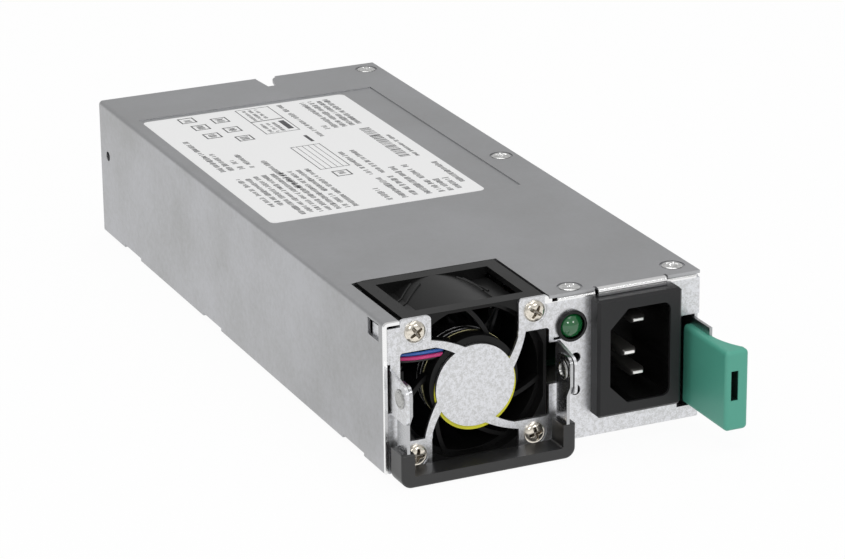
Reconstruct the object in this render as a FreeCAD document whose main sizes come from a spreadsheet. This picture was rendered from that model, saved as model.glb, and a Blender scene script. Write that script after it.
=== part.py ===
"""Hot swap server power supply: a folded steel case with a 40 mm fan behind a guard,
a vertical appliance inlet, a swinging bail handle and a sprung release latch.

Frame: +X to the right as seen from the handle end, +Y towards the card edge that
plugs into the server, +Z up.  The origin is the centre of the case's underside.
All sizes are in millimetres.
"""
import FreeCAD, Part
import math
import os
import re

import Sketcher
from FreeCAD import Matrix, Placement, Rotation, Vector

# ------------------------------------------------------------------ driving sizes
# Distances "from_left", "from_right" and "from_front" start at the case's outer faces.
# "height" values start at the case's underside.
SIZES = (
    ("case_width", 86.0, "outside width of the case"),
    ("case_height", 39.0, "outside height of the case"),
    ("case_length", 200.0, "outside length of the case without the card edge"),
    ("metal", 0.8, "thickness of every folded steel sheet"),
    ("bend", 1.2, "outer radius of the long folds"),
    ("gap", 0.4, "clearance round a part that drops into a cut-out"),
    ("running_gap", 0.2, "side clearance of a moving piece"),
    ("pan_rim", 9.0, "width of the pan's inward rim and height of its left upstand"),

    ("fan_size", 39.2, "square outline of the fan"),
    ("fan_depth", 28.0, "depth of the fan"),
    ("fan_from_left", 24.2, "fan centre from the left side"),
    ("fan_height", 19.7, "fan centre height"),
    ("fan_screw_inset", 3.6, "fan screws from the edges of the fan's outline"),
    ("fan_flange", 3.8, "thickness of the fan's end flanges"),
    ("fan_corner", 3.0, "corner radius of the fan's flanges"),
    ("fan_wall", 0.9, "wall of the fan's round duct"),
    ("fan_screw_hole", 3.6, "diameter of the screw holes in the fan"),
    ("blade_gap", 0.6, "clearance between blade tips and duct"),
    ("stator_radius", 11.9, "radius of the fixed motor hub in front"),
    ("stator_depth", 5.0, "depth of the fixed motor hub"),
    ("strut_width", 1.1, "thickness of the curved struts that carry the motor"),
    ("rotor_radius", 11.6, "radius of the turning hub"),
    ("sticker_radius", 11.0, "radius of the disc stuck on the motor hub"),
    ("fan_flare", 0.4, "how far the round mouth would reach past the fan's square outline"),
    ("fan_rim", 0.8, "least width of the fan's flanges round the mouth"),
    ("fan_web", 0.8, "thickness left between a flange's mouth and its inner face"),
    ("fan_rail", 1.5, "thickness of the corner rails between the flanges"),

    ("guard_height", 19.15, "height of the guard's centre"),
    ("guard_radius", 10.6, "radius of the guard's plain disc"),
    ("guard_arm", 2.05, "width of a guard arm where it leaves its corner"),
    ("corner_plate", 8.0, "width of the panel's plates over the fan's corners"),
    ("window_half", "=fan_size / 2 - corner_plate", "half the clear height of the windows round the guard"),
    ("window_round", 0.8, "corner radius of the side windows"),
    ("window_rear", 1.1, "clearance behind the fan in the cover's window"),
    ("lip_slit", 0.7, "width of the slits beside the cover's lip"),
    ("lip_drop", 2.1, "height of the cover's lip over the inlet"),
    ("roof_flange", 9.5, "depth of the panel's upper and lower flanges"),
    ("side_flange", 8.4, "depth of the panel's left flange"),
    ("ear_gap", 0.05, "clearance between a raised corner ear and the cover's window"),
    ("ear_rise", 0.3, "rise of the ears above the case's top"),
    ("screw_head", 5.5, "diameter of the fan screws' heads"),
    ("screw_head_tall", 1.3, "height of the fan screws' heads"),
    ("coin_width", 0.6, "width of the pressed ring round a fan screw"),
    ("coin_deep", 0.15, "depth of the pressed ring round a fan screw"),

    ("led_gap", 1.4, "gap between the lamp holder and the inlet's bezel"),
    ("led_height", 30.3, "lamp centre height"),
    ("led_holder_size", 8.2, "diameter of the lamp holder's rim"),
    ("led_size", 6.6, "diameter of the lamp's dome"),
    ("led_barrel", 7.4, "diameter of the lamp holder behind its rim"),

    ("inlet_from_right", 18.6, "inlet centre from the right side"),
    ("inlet_height", 21.3, "inlet centre height"),
    ("bezel_width", 23.4, "width of the inlet's bezel"),
    ("bezel_tall", 31.0, "height of the inlet's bezel"),
    ("bezel_proud", 4.0, "how far the bezel stands out"),
    ("bezel_border", 1.2, "overlap of the bezel on the panel"),
    ("inlet_back", 19.5, "depth of the inlet behind the panel"),
    ("socket_width", 16.7, "width of the inlet's socket"),
    ("socket_tall", 24.8, "height of the inlet's socket"),
    ("socket_corner", 4.9, "bevel of the two keyed socket corners"),
    ("socket_floor", 3.5, "thickness of the socket's floor"),
    ("pin_wide", 4.0, "width of a contact blade"),
    ("pin_thick", 2.0, "thickness of a contact blade"),
    ("pin_pitch", 14.0, "spacing of the line and neutral blades"),
    ("pin_offset", 2.0, "offset of the blades from the inlet's centre"),

    ("pivot_out", 6.0, "handle pivot in front of the panel"),
    ("pivot_height", 21.7, "handle pivot height"),
    ("lug_from_left", 1.4, "outer face of the left lug"),
    ("lug_span", 45.7, "distance over the outer faces of the two lugs"),
    ("lug_reach", 9.7, "how far the lugs stand out"),
    ("strap_back", 1.9, "clearance between the steel strap and the panel"),
    ("strap_width", 5.6, "width of the handle's steel strap"),
    ("strap_head", 7.4, "width of the strap round its pivot"),
    ("grip_width", 46.8, "width of the handle's grip"),
    ("grip_tall", 9.0, "height of the grip"),
    ("grip_depth", 6.4, "depth of the grip"),
    ("grip_below", 1.3, "how far the grip hangs below the case"),
    ("grip_floor", 3.0, "thickness of the grip's floor"),
    ("grip_leg", 3.4, "width of the grip's legs"),
    ("grip_back", 1.5, "clearance between grip and panel"),
    ("rivet_size", 2.6, "shank diameter of the handle's pivots"),
    ("rivet_head", 5.0, "head diameter of the handle's pivots"),
    ("rivet_gap", 0.05, "radial running clearance on a pivot"),

    ("latch_pivot", 45.0, "latch hinge line from the panel"),
    ("latch_gap", 0.2, "clearance between the latch blade and the right wall"),
    ("latch_line", 15.5, "middle height of the latch's hinge and tooth"),
    ("latch_low", 4.3, "lower edge of the latch blade"),
    ("latch_high", 26.8, "upper edge of the latch blade"),
    ("cap_reach", 20.8, "how far the latch's cap stands out"),
    ("cap_low", 3.65, "lower face of the cap"),
    ("cap_high", 24.8, "upper face of the cap"),
    ("cap_from_right", 3.75, "inner face of the cap from the right side"),
    ("cap_width", 6.4, "width of the cap at its front"),
    ("cap_slot", 3.5, "depth of the slot in the cap's front"),
    ("tooth_proud", 1.3, "how far the latch's tooth stands out of the case"),
    ("tooth_front", 5.0, "steep face of the tooth from the panel"),
    ("tooth_long", 9.0, "length of the tooth"),
    ("tooth_tall", 10.0, "height of the tooth"),

    ("board_height", 5.2, "underside of the main board"),
    ("board_thick", 1.6, "thickness of the circuit boards"),
    ("board_start", 35.0, "front edge of the main board from the panel"),
    ("board_margin", 3.0, "clearance round the main board"),
    ("card_height", 11.0, "underside of the output board"),
    ("card_width", 48.0, "width of the output board's tongue"),
    ("card_reach", 11.0, "how far the card edge stands out of the rear wall"),
    ("card_start", 42.0, "length of the output board inside the case"),
    ("finger_pitch", 2.0, "spacing of the gold fingers"),
    ("finger_wide", 1.3, "width of a gold finger"),
    ("finger_long", 8.0, "length of a gold finger"),

    ("vent_pitch", 5.0, "spacing of the vent holes in the rear wall"),
    ("vent_radius", 2.1, "corner radius of a six-sided vent hole"),
    ("label_wide", 61.6, "width of the rating label"),
    ("label_long", 95.7, "length of the rating label"),
    ("label_front", 79.8, "front edge of the rating label from the panel"),
    ("label_left", 4.0, "left edge of the rating label"),
    ("label_thick", 0.1, "thickness of the rating label"),
    ("recess_deep", 0.3, "depth of the shallow field round the label"),
    ("cover_screw_head", 5.3, "head diameter of the cover screws"),
    ("cover_dimple", 6.4, "diameter of the dimple under a cover screw"),
)

doc = FreeCAD.newDocument("ServerPowerSupply")
sheet = doc.addObject("Spreadsheet::Sheet", "Sizes")
for row, (alias, size, meaning) in enumerate(SIZES, start=1):
    sheet.set(f"A{row}", alias)
    sheet.set(f"B{row}", str(size))
    sheet.set(f"C{row}", meaning)
    sheet.setAlias(f"B{row}", alias)
doc.recompute()
NAMES = {alias for alias, _, _ in SIZES}
finished = []


# ------------------------------------------------------------------ small helpers
def formula(words):
    """Point every size name in a formula at its cell in the sheet."""
    return re.sub(r"[a-z][a-z_]*", lambda m: "Sizes." + m[0] if m[0] in NAMES else m[0], str(words))


def value(words):
    """The number that a formula comes to now."""
    return float(sheet.evalExpression(formula(words)))


def left(size):
    return f"(-case_width / 2 + ({size}))"


def right(size):
    return f"(case_width / 2 - ({size}))"


def front(size):
    return f"(-case_length / 2 + ({size}))"


def rear(size):
    return f"(case_length / 2 - ({size}))"


TOP = "case_height"
FAN_X = left("fan_from_left")
INLET_X = right("inlet_from_right")
LAMP_X = f"({INLET_X} - bezel_width / 2 - led_gap - led_holder_size / 2)"


def bind(item, **formulas):
    for prop, words in formulas.items():
        item.setExpression(prop, formula(words))
    return item


def place(item, x, y, z):
    for axis, words in zip("xyz", (x, y, z)):
        item.setExpression(f"Placement.Base.{axis}", formula(words))
    return item


def brick(name, x, y, z):
    """A box between two formulas on each axis."""
    item = doc.addObject("Part::Box", name)
    bind(item, Length=f"({x[1]}) - ({x[0]})", Width=f"({y[1]}) - ({y[0]})", Height=f"({z[1]}) - ({z[0]})")
    return place(item, x[0], y[0], z[0])


FACING_FRONT = Rotation(Vector(1, 0, 0), 90)
TURNS = {
    "X": Rotation(Vector(0, 1, 0), 90),
    "Y": Rotation(Vector(1, 0, 0), -90),
    "Z": Rotation(),
}


def rod(name, axis, centre, span, radius):
    """A round bar along one axis; centre gives the two other coordinates in X, Y, Z order."""
    item = doc.addObject("Part::Cylinder", name)
    item.Placement = Placement(Vector(), TURNS[axis])
    bind(item, Radius=radius, Height=f"({span[1]}) - ({span[0]})")
    spot = list(centre)
    spot.insert("XYZ".index(axis), span[0])
    return place(item, *spot)


def joined(name, parts):
    item = doc.addObject("Part::MultiFuse", name)
    item.Shapes = parts
    item.Refine = True
    return item


def less(name, base, tools):
    item = doc.addObject("Part::Cut", name)
    item.Base = base
    item.Tool = tools[0] if len(tools) == 1 else joined(name + "_tools", tools)
    item.Refine = True
    return item


def shaped(name, shape):
    """A piece whose form has no feature of its own; its shape is worked out from the sheet."""
    item = doc.addObject("Part::Feature", name)
    item.Shape = shape
    return item


def finish(name, item):
    """Mark an object as one finished piece; the label names its file."""
    item.Label = name
    finished.append(item)
    return item


def edges_where(shape, test):
    return [i for i, edge in enumerate(shape.Edges, start=1) if test(edge)]


def softened(name, base, radius, test):
    """Round the edges of a Part object that pass a test."""
    doc.recompute()
    item = doc.addObject("Part::Fillet", name)
    item.Base = base
    size = value(radius)
    item.Edges = [(i, size, size) for i in edges_where(base.Shape, test)]
    return item


def along(edge, axis):
    """True for a straight edge that runs along one axis."""
    if edge.Curve.TypeId != "Part::GeomLine":
        return False
    return abs(abs(getattr(edge.Curve.Direction, axis)) - 1) < 1e-6


def near(edge, **spots):
    """True if the middle of an edge has the given coordinates."""
    middle = edge.CenterOfMass
    return all(abs(getattr(middle, axis) - spot) < 0.01 for axis, spot in spots.items())


# ------------------------------------------------------------------ sketch helpers
def new_body(name):
    return doc.addObject("PartDesign::Body", name)


def sketch_on(body, role, name, offset="0", origin=("0", "0")):
    """A sketch on one of the body's own origin planes, moved along the plane's normal."""
    sketch = body.newObject("Sketcher::SketchObject", name)
    plane = [item for item in body.Origin.OriginFeatures if item.Role == role][0]
    sketch.AttachmentSupport = [(plane, "")]
    sketch.MapMode = "FlatFace"
    sketch.setExpression("AttachmentOffset.Base.x", formula(origin[0]))
    sketch.setExpression("AttachmentOffset.Base.y", formula(origin[1]))
    sketch.setExpression("AttachmentOffset.Base.z", formula(offset))
    doc.recompute()
    return sketch


def pin_value(sketch, kind, places, number, words, label):
    """Add one dimension to a sketch and bind it to its formula."""
    index = sketch.addConstraint(Sketcher.Constraint(kind, *places, number))
    sketch.renameConstraint(index, label)
    sketch.setExpression(f"Constraints.{label}", formula(words))


def arc_between(start, end, radius, side):
    """The arc from start to end, its centre on the left (side 1) or right (side -1) of the chord."""
    chord = end - start
    normal = Vector(-chord.y, chord.x, 0).normalize()
    reach = math.sqrt(max(radius ** 2 - chord.Length ** 2 / 4, 0.0))
    centre = (start + end) * 0.5 + normal * reach * side
    angles = [math.atan2(p.y - centre.y, p.x - centre.x) for p in (start, end)]
    if side < 0:
        angles.reverse()
    return Part.ArcOfCircle(Part.Circle(centre, Vector(0, 0, 1), radius), *angles)


def outline(sketch, corners):
    """Draw a closed outline.  A corner is (x, y), or (x, y, radius, side) when an arc leaves it."""
    spots = [Vector(value(corner[0]), value(corner[1]), 0) for corner in corners]
    first = sketch.GeometryCount
    count = len(corners)
    ends = []
    for i, corner in enumerate(corners):
        start, end = spots[i], spots[(i + 1) % count]
        if len(corner) == 4:
            edge = arc_between(start, end, value(corner[2]), corner[3])
            ends.append((1, 2) if corner[3] > 0 else (2, 1))
        else:
            edge = Part.LineSegment(start, end)
            ends.append((1, 2))
        sketch.addGeometry(edge, False)
    for i, corner in enumerate(corners):
        line = first + i
        after = (i + 1) % count
        meets = (line, ends[i][1], first + after, ends[after][0])
        sketch.addConstraint(Sketcher.Constraint("Coincident", *meets))
        tag = f"{first}_{i}"
        pin_value(sketch, "DistanceX", (-1, 1, line, ends[i][0]), spots[i].x, corner[0], f"across_{tag}")
        pin_value(sketch, "DistanceY", (-1, 1, line, ends[i][0]), spots[i].y, corner[1], f"up_{tag}")
        if len(corner) == 4:
            pin_value(sketch, "Radius", (line,), value(corner[2]), corner[2], f"round_{tag}")


def rectangle(sketch, x, y):
    outline(sketch, [(x[0], y[0]), (x[1], y[0]), (x[1], y[1]), (x[0], y[1])])


def rounded_rectangle(sketch, x, y, radius):
    outline(sketch, [
        (f"{x[0]} + {radius}", y[0]), (f"{x[1]} - {radius}", y[0], radius, 1),
        (x[1], f"{y[0]} + {radius}"), (x[1], f"{y[1]} - {radius}", radius, 1),
        (f"{x[1]} - {radius}", y[1]), (f"{x[0]} + {radius}", y[1], radius, 1),
        (x[0], f"{y[1]} - {radius}"), (x[0], f"{y[0]} + {radius}", radius, 1),
    ])


def circle(sketch, x, y, radius):
    index = sketch.GeometryCount
    centre = Vector(value(x), value(y), 0)
    sketch.addGeometry(Part.Circle(centre, Vector(0, 0, 1), value(radius)), False)
    pin_value(sketch, "DistanceX", (-1, 1, index, 3), centre.x, x, f"across_{index}")
    pin_value(sketch, "DistanceY", (-1, 1, index, 3), centre.y, y, f"up_{index}")
    pin_value(sketch, "Radius", (index,), value(radius), radius, f"round_{index}")


def pad(body, name, sketch, length, backwards=False):
    item = body.newObject("PartDesign::Pad", name)
    item.Profile = sketch
    item.Reversed = backwards
    bind(item, Length=length)
    return item


def pocket(body, name, sketch, depth):
    """Cut equally to both sides of the sketch, so depth is the whole length of the cut."""
    item = body.newObject("PartDesign::Pocket", name)
    item.Profile = sketch
    item.Midplane = True
    bind(item, Length=depth)
    return item


def round_edges(body, name, radius, test):
    """Fillet the edges of the body's last feature that pass a test."""
    doc.recompute()
    base = body.Tip
    item = body.newObject("PartDesign::Fillet", name)
    item.Base = (base, [f"Edge{i}" for i in edges_where(base.Shape, test)])
    bind(item, Radius=radius)
    return item


def bevel_edges(body, name, size, test):
    doc.recompute()
    base = body.Tip
    item = body.newObject("PartDesign::Chamfer", name)
    item.Base = (base, [f"Edge{i}" for i in edges_where(base.Shape, test)])
    bind(item, Size=size)
    return item


def group(name, shapes):
    """Like pieces that share one node, as separate solids."""
    return finish(name, shaped(name, Part.makeCompound(shapes)))


# Sketch planes: on XZ_Plane the sketch's y is Z and its normal is -Y, so an offset is -Y;
# on YZ_Plane the sketch's x is Y, its y is Z and its normal is +X.
FRONT_OFFSET = "case_length / 2"

# ------------------------------------------------------------------ fixed places
COVER_SCREWS = (
    (left("51.6"), front("3.7")),
    (right("4.5"), front("6.2")),
    (right("4.5"), front("103.5")),
    (right("4.5"), rear("5.5")),
)
FAN_CORNERS = [(sx, sz) for sz in (1, -1) for sx in (-1, 1)]
FAN_SCREWS = [(f"{FAN_X} + {sx} * (fan_size / 2 - fan_screw_inset)",
               f"fan_height + {sz} * (fan_size / 2 - fan_screw_inset)") for sx, sz in FAN_CORNERS]
FAN_SPAN = (front("metal"), front("metal + fan_depth"))
WINDOW_X = (f"{FAN_X} - fan_size / 2 - gap", f"{FAN_X} + fan_size / 2 + gap")
WINDOW_END = front("metal + fan_depth + window_rear")
LEFT_LUG = (left("lug_from_left"), left("lug_from_left + metal"))
RIGHT_LUG = (left("lug_from_left + lug_span - metal"), left("lug_from_left + lug_span"))
LATCH_NOTCH = right("cap_from_right + 2.25")
NOTCH = {"left": "49.0", "right": "51.4", "deep": "8.6", "mouth_left": "48.5", "mouth_right": "54.6"}
CARD_X = "0"


# ------------------------------------------------------------------ base pan
def base_pan():
    """Floor, right side, rear wall and narrow rims, folded from one sheet."""
    body = new_body("base_pan_body")
    fold = sketch_on(body, "XZ_Plane", "pan_section", offset="-case_length / 2")
    inner = "(bend - metal)"
    outline(fold, [
        (left("metal"), "0"),
        (right("bend"), "0", "bend", 1),
        (right("0"), "bend"),
        (right("0"), f"{TOP} - metal - bend", "bend", 1),
        (right("bend"), f"{TOP} - metal"),
        (right("pan_rim"), f"{TOP} - metal"),
        (right("pan_rim"), f"{TOP} - 2 * metal"),
        (right("bend"), f"{TOP} - 2 * metal", inner, -1),
        (right("metal"), f"{TOP} - metal - bend"),
        (right("metal"), "bend", inner, -1),
        (right("bend"), "metal"),
        (left("2 * metal"), "metal"),
        (left("2 * metal"), "pan_rim"),
        (left("metal"), "pan_rim"),
    ])
    pad(body, "pan_walls", fold, "case_length - metal")

    clear = sketch_on(body, "XY_Plane", "pan_front_room", offset=f"{TOP} - metal")
    rectangle(clear, (right("pan_rim + 1"), right("metal")), (front("0"), front("11")))
    pocket(body, "pan_rim_start", clear, "3 * metal")

    stand = sketch_on(body, "YZ_Plane", "pan_upstand_room", offset=left("1.5 * metal"))
    rectangle(stand, (front("0"), front("13")), ("metal", "pan_rim + 1"))
    pocket(body, "pan_upstand_start", stand, "1.5 * metal")

    fan_room = sketch_on(body, "XY_Plane", "pan_fan_window", offset="metal / 2")
    rectangle(fan_room, WINDOW_X, (front("0"), WINDOW_END))
    pocket(body, "pan_fan_cut", fan_room, "2 * metal")

    tooth = sketch_on(body, "YZ_Plane", "pan_tooth_window", offset=right("metal / 2"))
    rectangle(tooth, (front("tooth_front - 1.2"), front("tooth_front + tooth_long + 1.2")),
              ("latch_line - tooth_tall / 2 - 0.675", "latch_line + tooth_tall / 2 + 1.325"))
    pocket(body, "pan_tooth_cut", tooth, "3 * metal")

    threads = sketch_on(body, "XY_Plane", "pan_screw_holes", offset=f"{TOP} - 1.5 * metal")
    for x, y in COVER_SCREWS[2:]:
        circle(threads, x, y, "1.25")
    pocket(body, "pan_screw_cut", threads, "2 * metal")
    return finish("base_pan", body)


# ------------------------------------------------------------------ rear wall
VENT_ROWS = 4


def rear_wall():
    """End plate with the card edge's slot, the key's notch and vents, and a foot welded to the pan."""
    body = new_body("rear_wall_body")
    plate_left, plate_right = left("2 * metal + 0.05"), right("metal + 0.05")
    wall = sketch_on(body, "XZ_Plane", "rear_plate", offset="-case_length / 2")
    outline(wall, [
        (plate_left, "metal + 0.4"), (f"{plate_right} - 0.4", "metal + 0.4"), (plate_right, "metal + 0.8"),
        (plate_right, f"{TOP} - 2 * metal - 0.5"), (f"{plate_right} - 0.5", f"{TOP} - 2 * metal - 0.05"),
        (right("pan_rim + 0.3"), f"{TOP} - 2 * metal - 0.05"), (right("pan_rim + 0.3"), f"{TOP} - metal"),
        (left(f"{NOTCH['mouth_right']}"), f"{TOP} - metal"), (left(f"{NOTCH['mouth_right']}"), f"{TOP} - 6"),
        (left(f"{NOTCH['left']}"), f"{TOP} - 6"), (left(f"{NOTCH['left']}"), f"{TOP} - metal"),
        (plate_left, f"{TOP} - metal"),
    ])
    pad(body, "rear_face", wall, "metal")
    foot = sketch_on(body, "XZ_Plane", "rear_foot", offset="-case_length / 2")
    rectangle(foot, (plate_left, f"{plate_right} - 0.4"), ("metal", "2 * metal"))
    pad(body, "rear_foot_pad", foot, "6")
    slot = sketch_on(body, "XZ_Plane", "rear_card_slot", offset="-case_length / 2")
    rectangle(slot, (f"{CARD_X} - card_width / 2 - gap", f"{CARD_X} + card_width / 2 + gap"),
              ("card_height - 3 * gap", "card_height + board_thick + 3 * gap"))
    pocket(body, "rear_slot_cut", slot, "3 * metal")
    return finish("rear_wall", less("rear_wall_all", body, vent_tools()))


def vent_tools():
    """Six-sided plugs in staggered rows, which leave the rear wall's vent holes."""
    across = int((value("case_width") - 14) // value("vent_pitch")) + 1
    plugs = []
    for line in range(VENT_ROWS):
        for i in range(across - line % 2):
            step = i + 0.5 * (line % 2) - (across - 1) / 2
            plug = doc.addObject("Part::Prism", f"vent_{line}_{i}")
            plug.Polygon = 6
            plug.Placement = Placement(Vector(), FACING_FRONT * Rotation(Vector(0, 0, 1), 30))
            bind(plug, Circumradius="vent_radius", Height="3 * metal")
            place(plug, f"{step} * vent_pitch", rear("-metal"),
                  f"card_height + board_thick + 4.4 + {line} * vent_pitch * 0.87")
            plugs.append(plug)
    return plugs


# ------------------------------------------------------------------ top cover
def top_cover():
    """Top and left side in one folded sheet, with a lip over the inlet."""
    body = new_body("top_cover_body")
    inner = "(bend - metal)"
    fold = sketch_on(body, "XZ_Plane", "cover_section", offset="-case_length / 2")
    outline(fold, [
        (left("0"), "0"),
        (left("metal"), "0"),
        (left("metal"), f"{TOP} - bend", inner, -1),
        (left("bend"), f"{TOP} - metal"),
        (right("0"), f"{TOP} - metal"),
        (right("0"), f"{TOP}"),
        (left("bend"), f"{TOP}", "bend", 1),
        (left("0"), f"{TOP} - bend"),
    ])
    pad(body, "cover_walls", fold, "case_length")

    lip_left = f"{INLET_X} - 10.05"
    lip_right = f"{INLET_X} + 8.85"
    lip = sketch_on(body, "YZ_Plane", "cover_lip_side", offset=lip_left)
    outline(lip, [
        (front("0"), f"{TOP}"),
        (front("metal - bend"), f"{TOP}", "bend", 1),
        (front("-metal"), f"{TOP} - bend"),
        (front("-metal"), f"{TOP} - lip_drop"),
        (front("0"), f"{TOP} - lip_drop"),
    ])
    pad(body, "cover_lip", lip, f"{lip_right} - ({lip_left})")

    cuts = sketch_on(body, "XY_Plane", "cover_top_cuts", offset=f"{TOP}")
    outline(cuts, [
        (WINDOW_X[0], front("-1")), (WINDOW_X[1], front("-1")), (WINDOW_X[1], WINDOW_END),
        (f"{WINDOW_X[0]} + 3.7", WINDOW_END), (WINDOW_X[0], f"{WINDOW_END} - 0.9"),
    ])
    rectangle(cuts, (f"{lip_left} - lip_slit", lip_left), (front("-1"), front("bend")))
    rectangle(cuts, (lip_right, f"{lip_right} + lip_slit"), (front("-1"), front("bend")))
    outline(cuts, [
        (left(NOTCH["left"]), rear(NOTCH["deep"])),
        (left(NOTCH["right"]), rear(NOTCH["deep"])),
        (left("52.4"), rear("3.8"), "4.5", -1),
        (left(NOTCH["mouth_right"]), rear("0.8")),
        (left(NOTCH["mouth_right"]), rear("-1")),
        (left(NOTCH["mouth_left"]), rear("-1")),
        (left(NOTCH["mouth_left"]), rear("1.5")),
    ])
    for x, y in COVER_SCREWS:
        circle(cuts, x, y, "1.6")
    pocket(body, "cover_top_cut", cuts, "4 * metal")

    field = sketch_on(body, "XY_Plane", "cover_label_field", offset=f"{TOP}")
    rectangle(field, (left("label_left - 0.2"), left("75.4")),
              (front("label_front - 0.8"), front("label_front + label_long + 2.1")))
    for x, y in COVER_SCREWS:
        circle(field, x, y, "cover_dimple / 2")
    pocket(body, "cover_field_cut", field, "2 * recess_deep")

    side = sketch_on(body, "YZ_Plane", "cover_side_cuts", offset=left("metal / 2"))
    rectangle(side, (front("3.1"), front("9.5")), (f"{TOP} - 5.5", f"{TOP} - bend"))
    circle(side, rear("6.0"), "24.0", "1.4")
    for start in (front("13"), front("case_length / 2 + 8"), rear("30.5")):
        end = f"{start} + 13"
        outline(side, [(start, "-1"), (end, "-1"), (end, "metal"), (f"{end} - 1.2", "metal"),
                       (f"{end} - 2.0", "metal * 0.95"), (start, "metal * 0.95")])
    pocket(body, "cover_side_cut", side, "2 * metal")
    return finish("top_cover", body)


# ------------------------------------------------------------------ front panel
def front_panel():
    """Front sheet with the fan guard, the handle's lugs and the flanges that hold it."""
    body = new_body("front_panel_body")
    plate_left = left("metal + 0.05")
    plate = sketch_on(body, "XZ_Plane", "panel_plate", offset=FRONT_OFFSET)
    outline(plate, [
        (plate_left, "0"), (right("0"), "0"), (right("0"), f"{TOP} - 2 * metal - 0.3"),
        (right("metal + 0.1"), f"{TOP} - 2 * metal - 0.3"), (right("metal + 0.1"), f"{TOP} - metal"),
        (f"{INLET_X} + 9.4", f"{TOP} - metal"), (f"{INLET_X} + 9.4", f"{TOP} - metal - 1.5"),
        (f"{INLET_X} - 10.6", f"{TOP} - metal - 1.5"), (f"{INLET_X} - 10.6", f"{TOP} - metal"),
        (left("46.5"), f"{TOP} - metal"), (left("46.5"), f"{TOP} - metal - 0.9"),
        (left("45.0"), f"{TOP} - metal - 0.9"), (left("45.0"), f"{TOP} - metal"),
        (f"{FAN_X} - window_half", f"{TOP} - metal"), (f"{FAN_X} - window_half", f"{TOP} - 1.5"),
        (plate_left, f"{TOP} - 1.5"),
    ])
    pad(body, "panel_face", plate, "metal", backwards=True)

    ears = sketch_on(body, "XZ_Plane", "panel_ears", offset=FRONT_OFFSET)
    ear_top = f"{TOP} + ear_rise"
    rim = "(window_half + 0.15)"
    for side in "-+":
        inside = f"{FAN_X} {side} {rim}"
        outside = f"{FAN_X} {side} (fan_size / 2 + gap - ear_gap)"
        low, high = (outside, inside) if side == "-" else (inside, outside)
        outline(ears, [
            (low, f"{TOP} - 4"), (high, f"{TOP} - 4"), (high, f"{ear_top} - 1.1", "1.1", 1),
            (f"{high} - 1.1", ear_top), (f"{low} + 1.1", ear_top, "1.1", 1), (low, f"{ear_top} - 1.1"),
        ])
    pad(body, "panel_ear_pads", ears, "metal", backwards=True)

    windows = sketch_on(body, "XZ_Plane", "panel_windows", offset=FRONT_OFFSET)
    low_arm = "(guard_height - window_half)"
    high_arm = "(guard_height + window_half)"
    far_left, far_right = (f"({edge})" for edge in WINDOW_X)
    turn = "window_round"
    outline(windows, [
        (f"{far_left} + {turn}", low_arm), (f"{FAN_X} - {rim}", low_arm),
        (f"{FAN_X} - {rim}", "-1"), (f"{FAN_X} + {rim}", "-1"),
        (f"{FAN_X} + {rim}", low_arm), (f"{far_right} - {turn}", low_arm, turn, 1),
        (far_right, f"{low_arm} + {turn}"), (far_right, f"{high_arm} - {turn}", turn, 1),
        (f"{far_right} - {turn}", high_arm), (f"{FAN_X} + {rim}", high_arm),
        (f"{FAN_X} + {rim}", f"{TOP} + 2"), (f"{FAN_X} - {rim}", f"{TOP} + 2"),
        (f"{FAN_X} - {rim}", high_arm), (f"{far_left} + {turn}", high_arm, turn, 1),
        (far_left, f"{high_arm} - {turn}"), (far_left, f"{low_arm} + {turn}", turn, 1),
    ])
    pocket(body, "panel_window_cut", windows, "4 * metal")

    arm = sketch_on(body, "XZ_Plane", "guard_arm_outline", offset=FRONT_OFFSET,
                    origin=(FAN_X, "guard_height"))
    outline(arm, [
        (f"-{rim} - 0.2", "window_half"),
        (f"-{rim} - 0.2", "window_half + guard_arm"),
        (f"-{rim}", "window_half + guard_arm", "30", -1),
        ("-2.6", "guard_radius - 0.35"),
        ("-2.0", "guard_radius - 3"),
        ("-5.0", "guard_radius - 1.6", "24", 1),
        (f"-{rim} + 1.2", "window_half"),
    ])
    first_arm = pad(body, "guard_arm_pad", arm, "metal", backwards=True)
    doc.recompute()
    turn = body.newObject("PartDesign::PolarPattern", "guard_arms")
    turn.Originals = [first_arm]
    turn.Axis = (arm, ["N_Axis"])
    turn.Angle = 360
    turn.Occurrences = 4
    body.Tip = turn
    doc.recompute()

    disc = sketch_on(body, "XZ_Plane", "guard_disc_outline", offset=FRONT_OFFSET)
    circle(disc, FAN_X, "guard_height", "guard_radius")
    pad(body, "guard_disc", disc, "metal", backwards=True)

    flanges = sketch_on(body, "XZ_Plane", "panel_flanges", offset=FRONT_OFFSET)
    roof = (f"{TOP} - 2 * metal", f"{TOP} - metal")
    rectangle(flanges, (left("46.5"), f"{INLET_X} - 10.6"), roof)
    rectangle(flanges, (f"{INLET_X} + 9.4", right("metal + 0.1")), roof)
    rectangle(flanges, (left("48"), right("10")), ("metal", "2 * metal"))
    pad(body, "panel_flange_pads", flanges, "roof_flange", backwards=True)

    side = sketch_on(body, "XZ_Plane", "panel_side_flange", offset=FRONT_OFFSET)
    rectangle(side, (plate_left, left("2 * metal")), ("3", f"{TOP} - 2.2"))
    pad(body, "panel_side_pad", side, "side_flange", backwards=True)
    round_edges(body, "panel_folds", "bend - metal / 2", panel_fold_edges)

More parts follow.
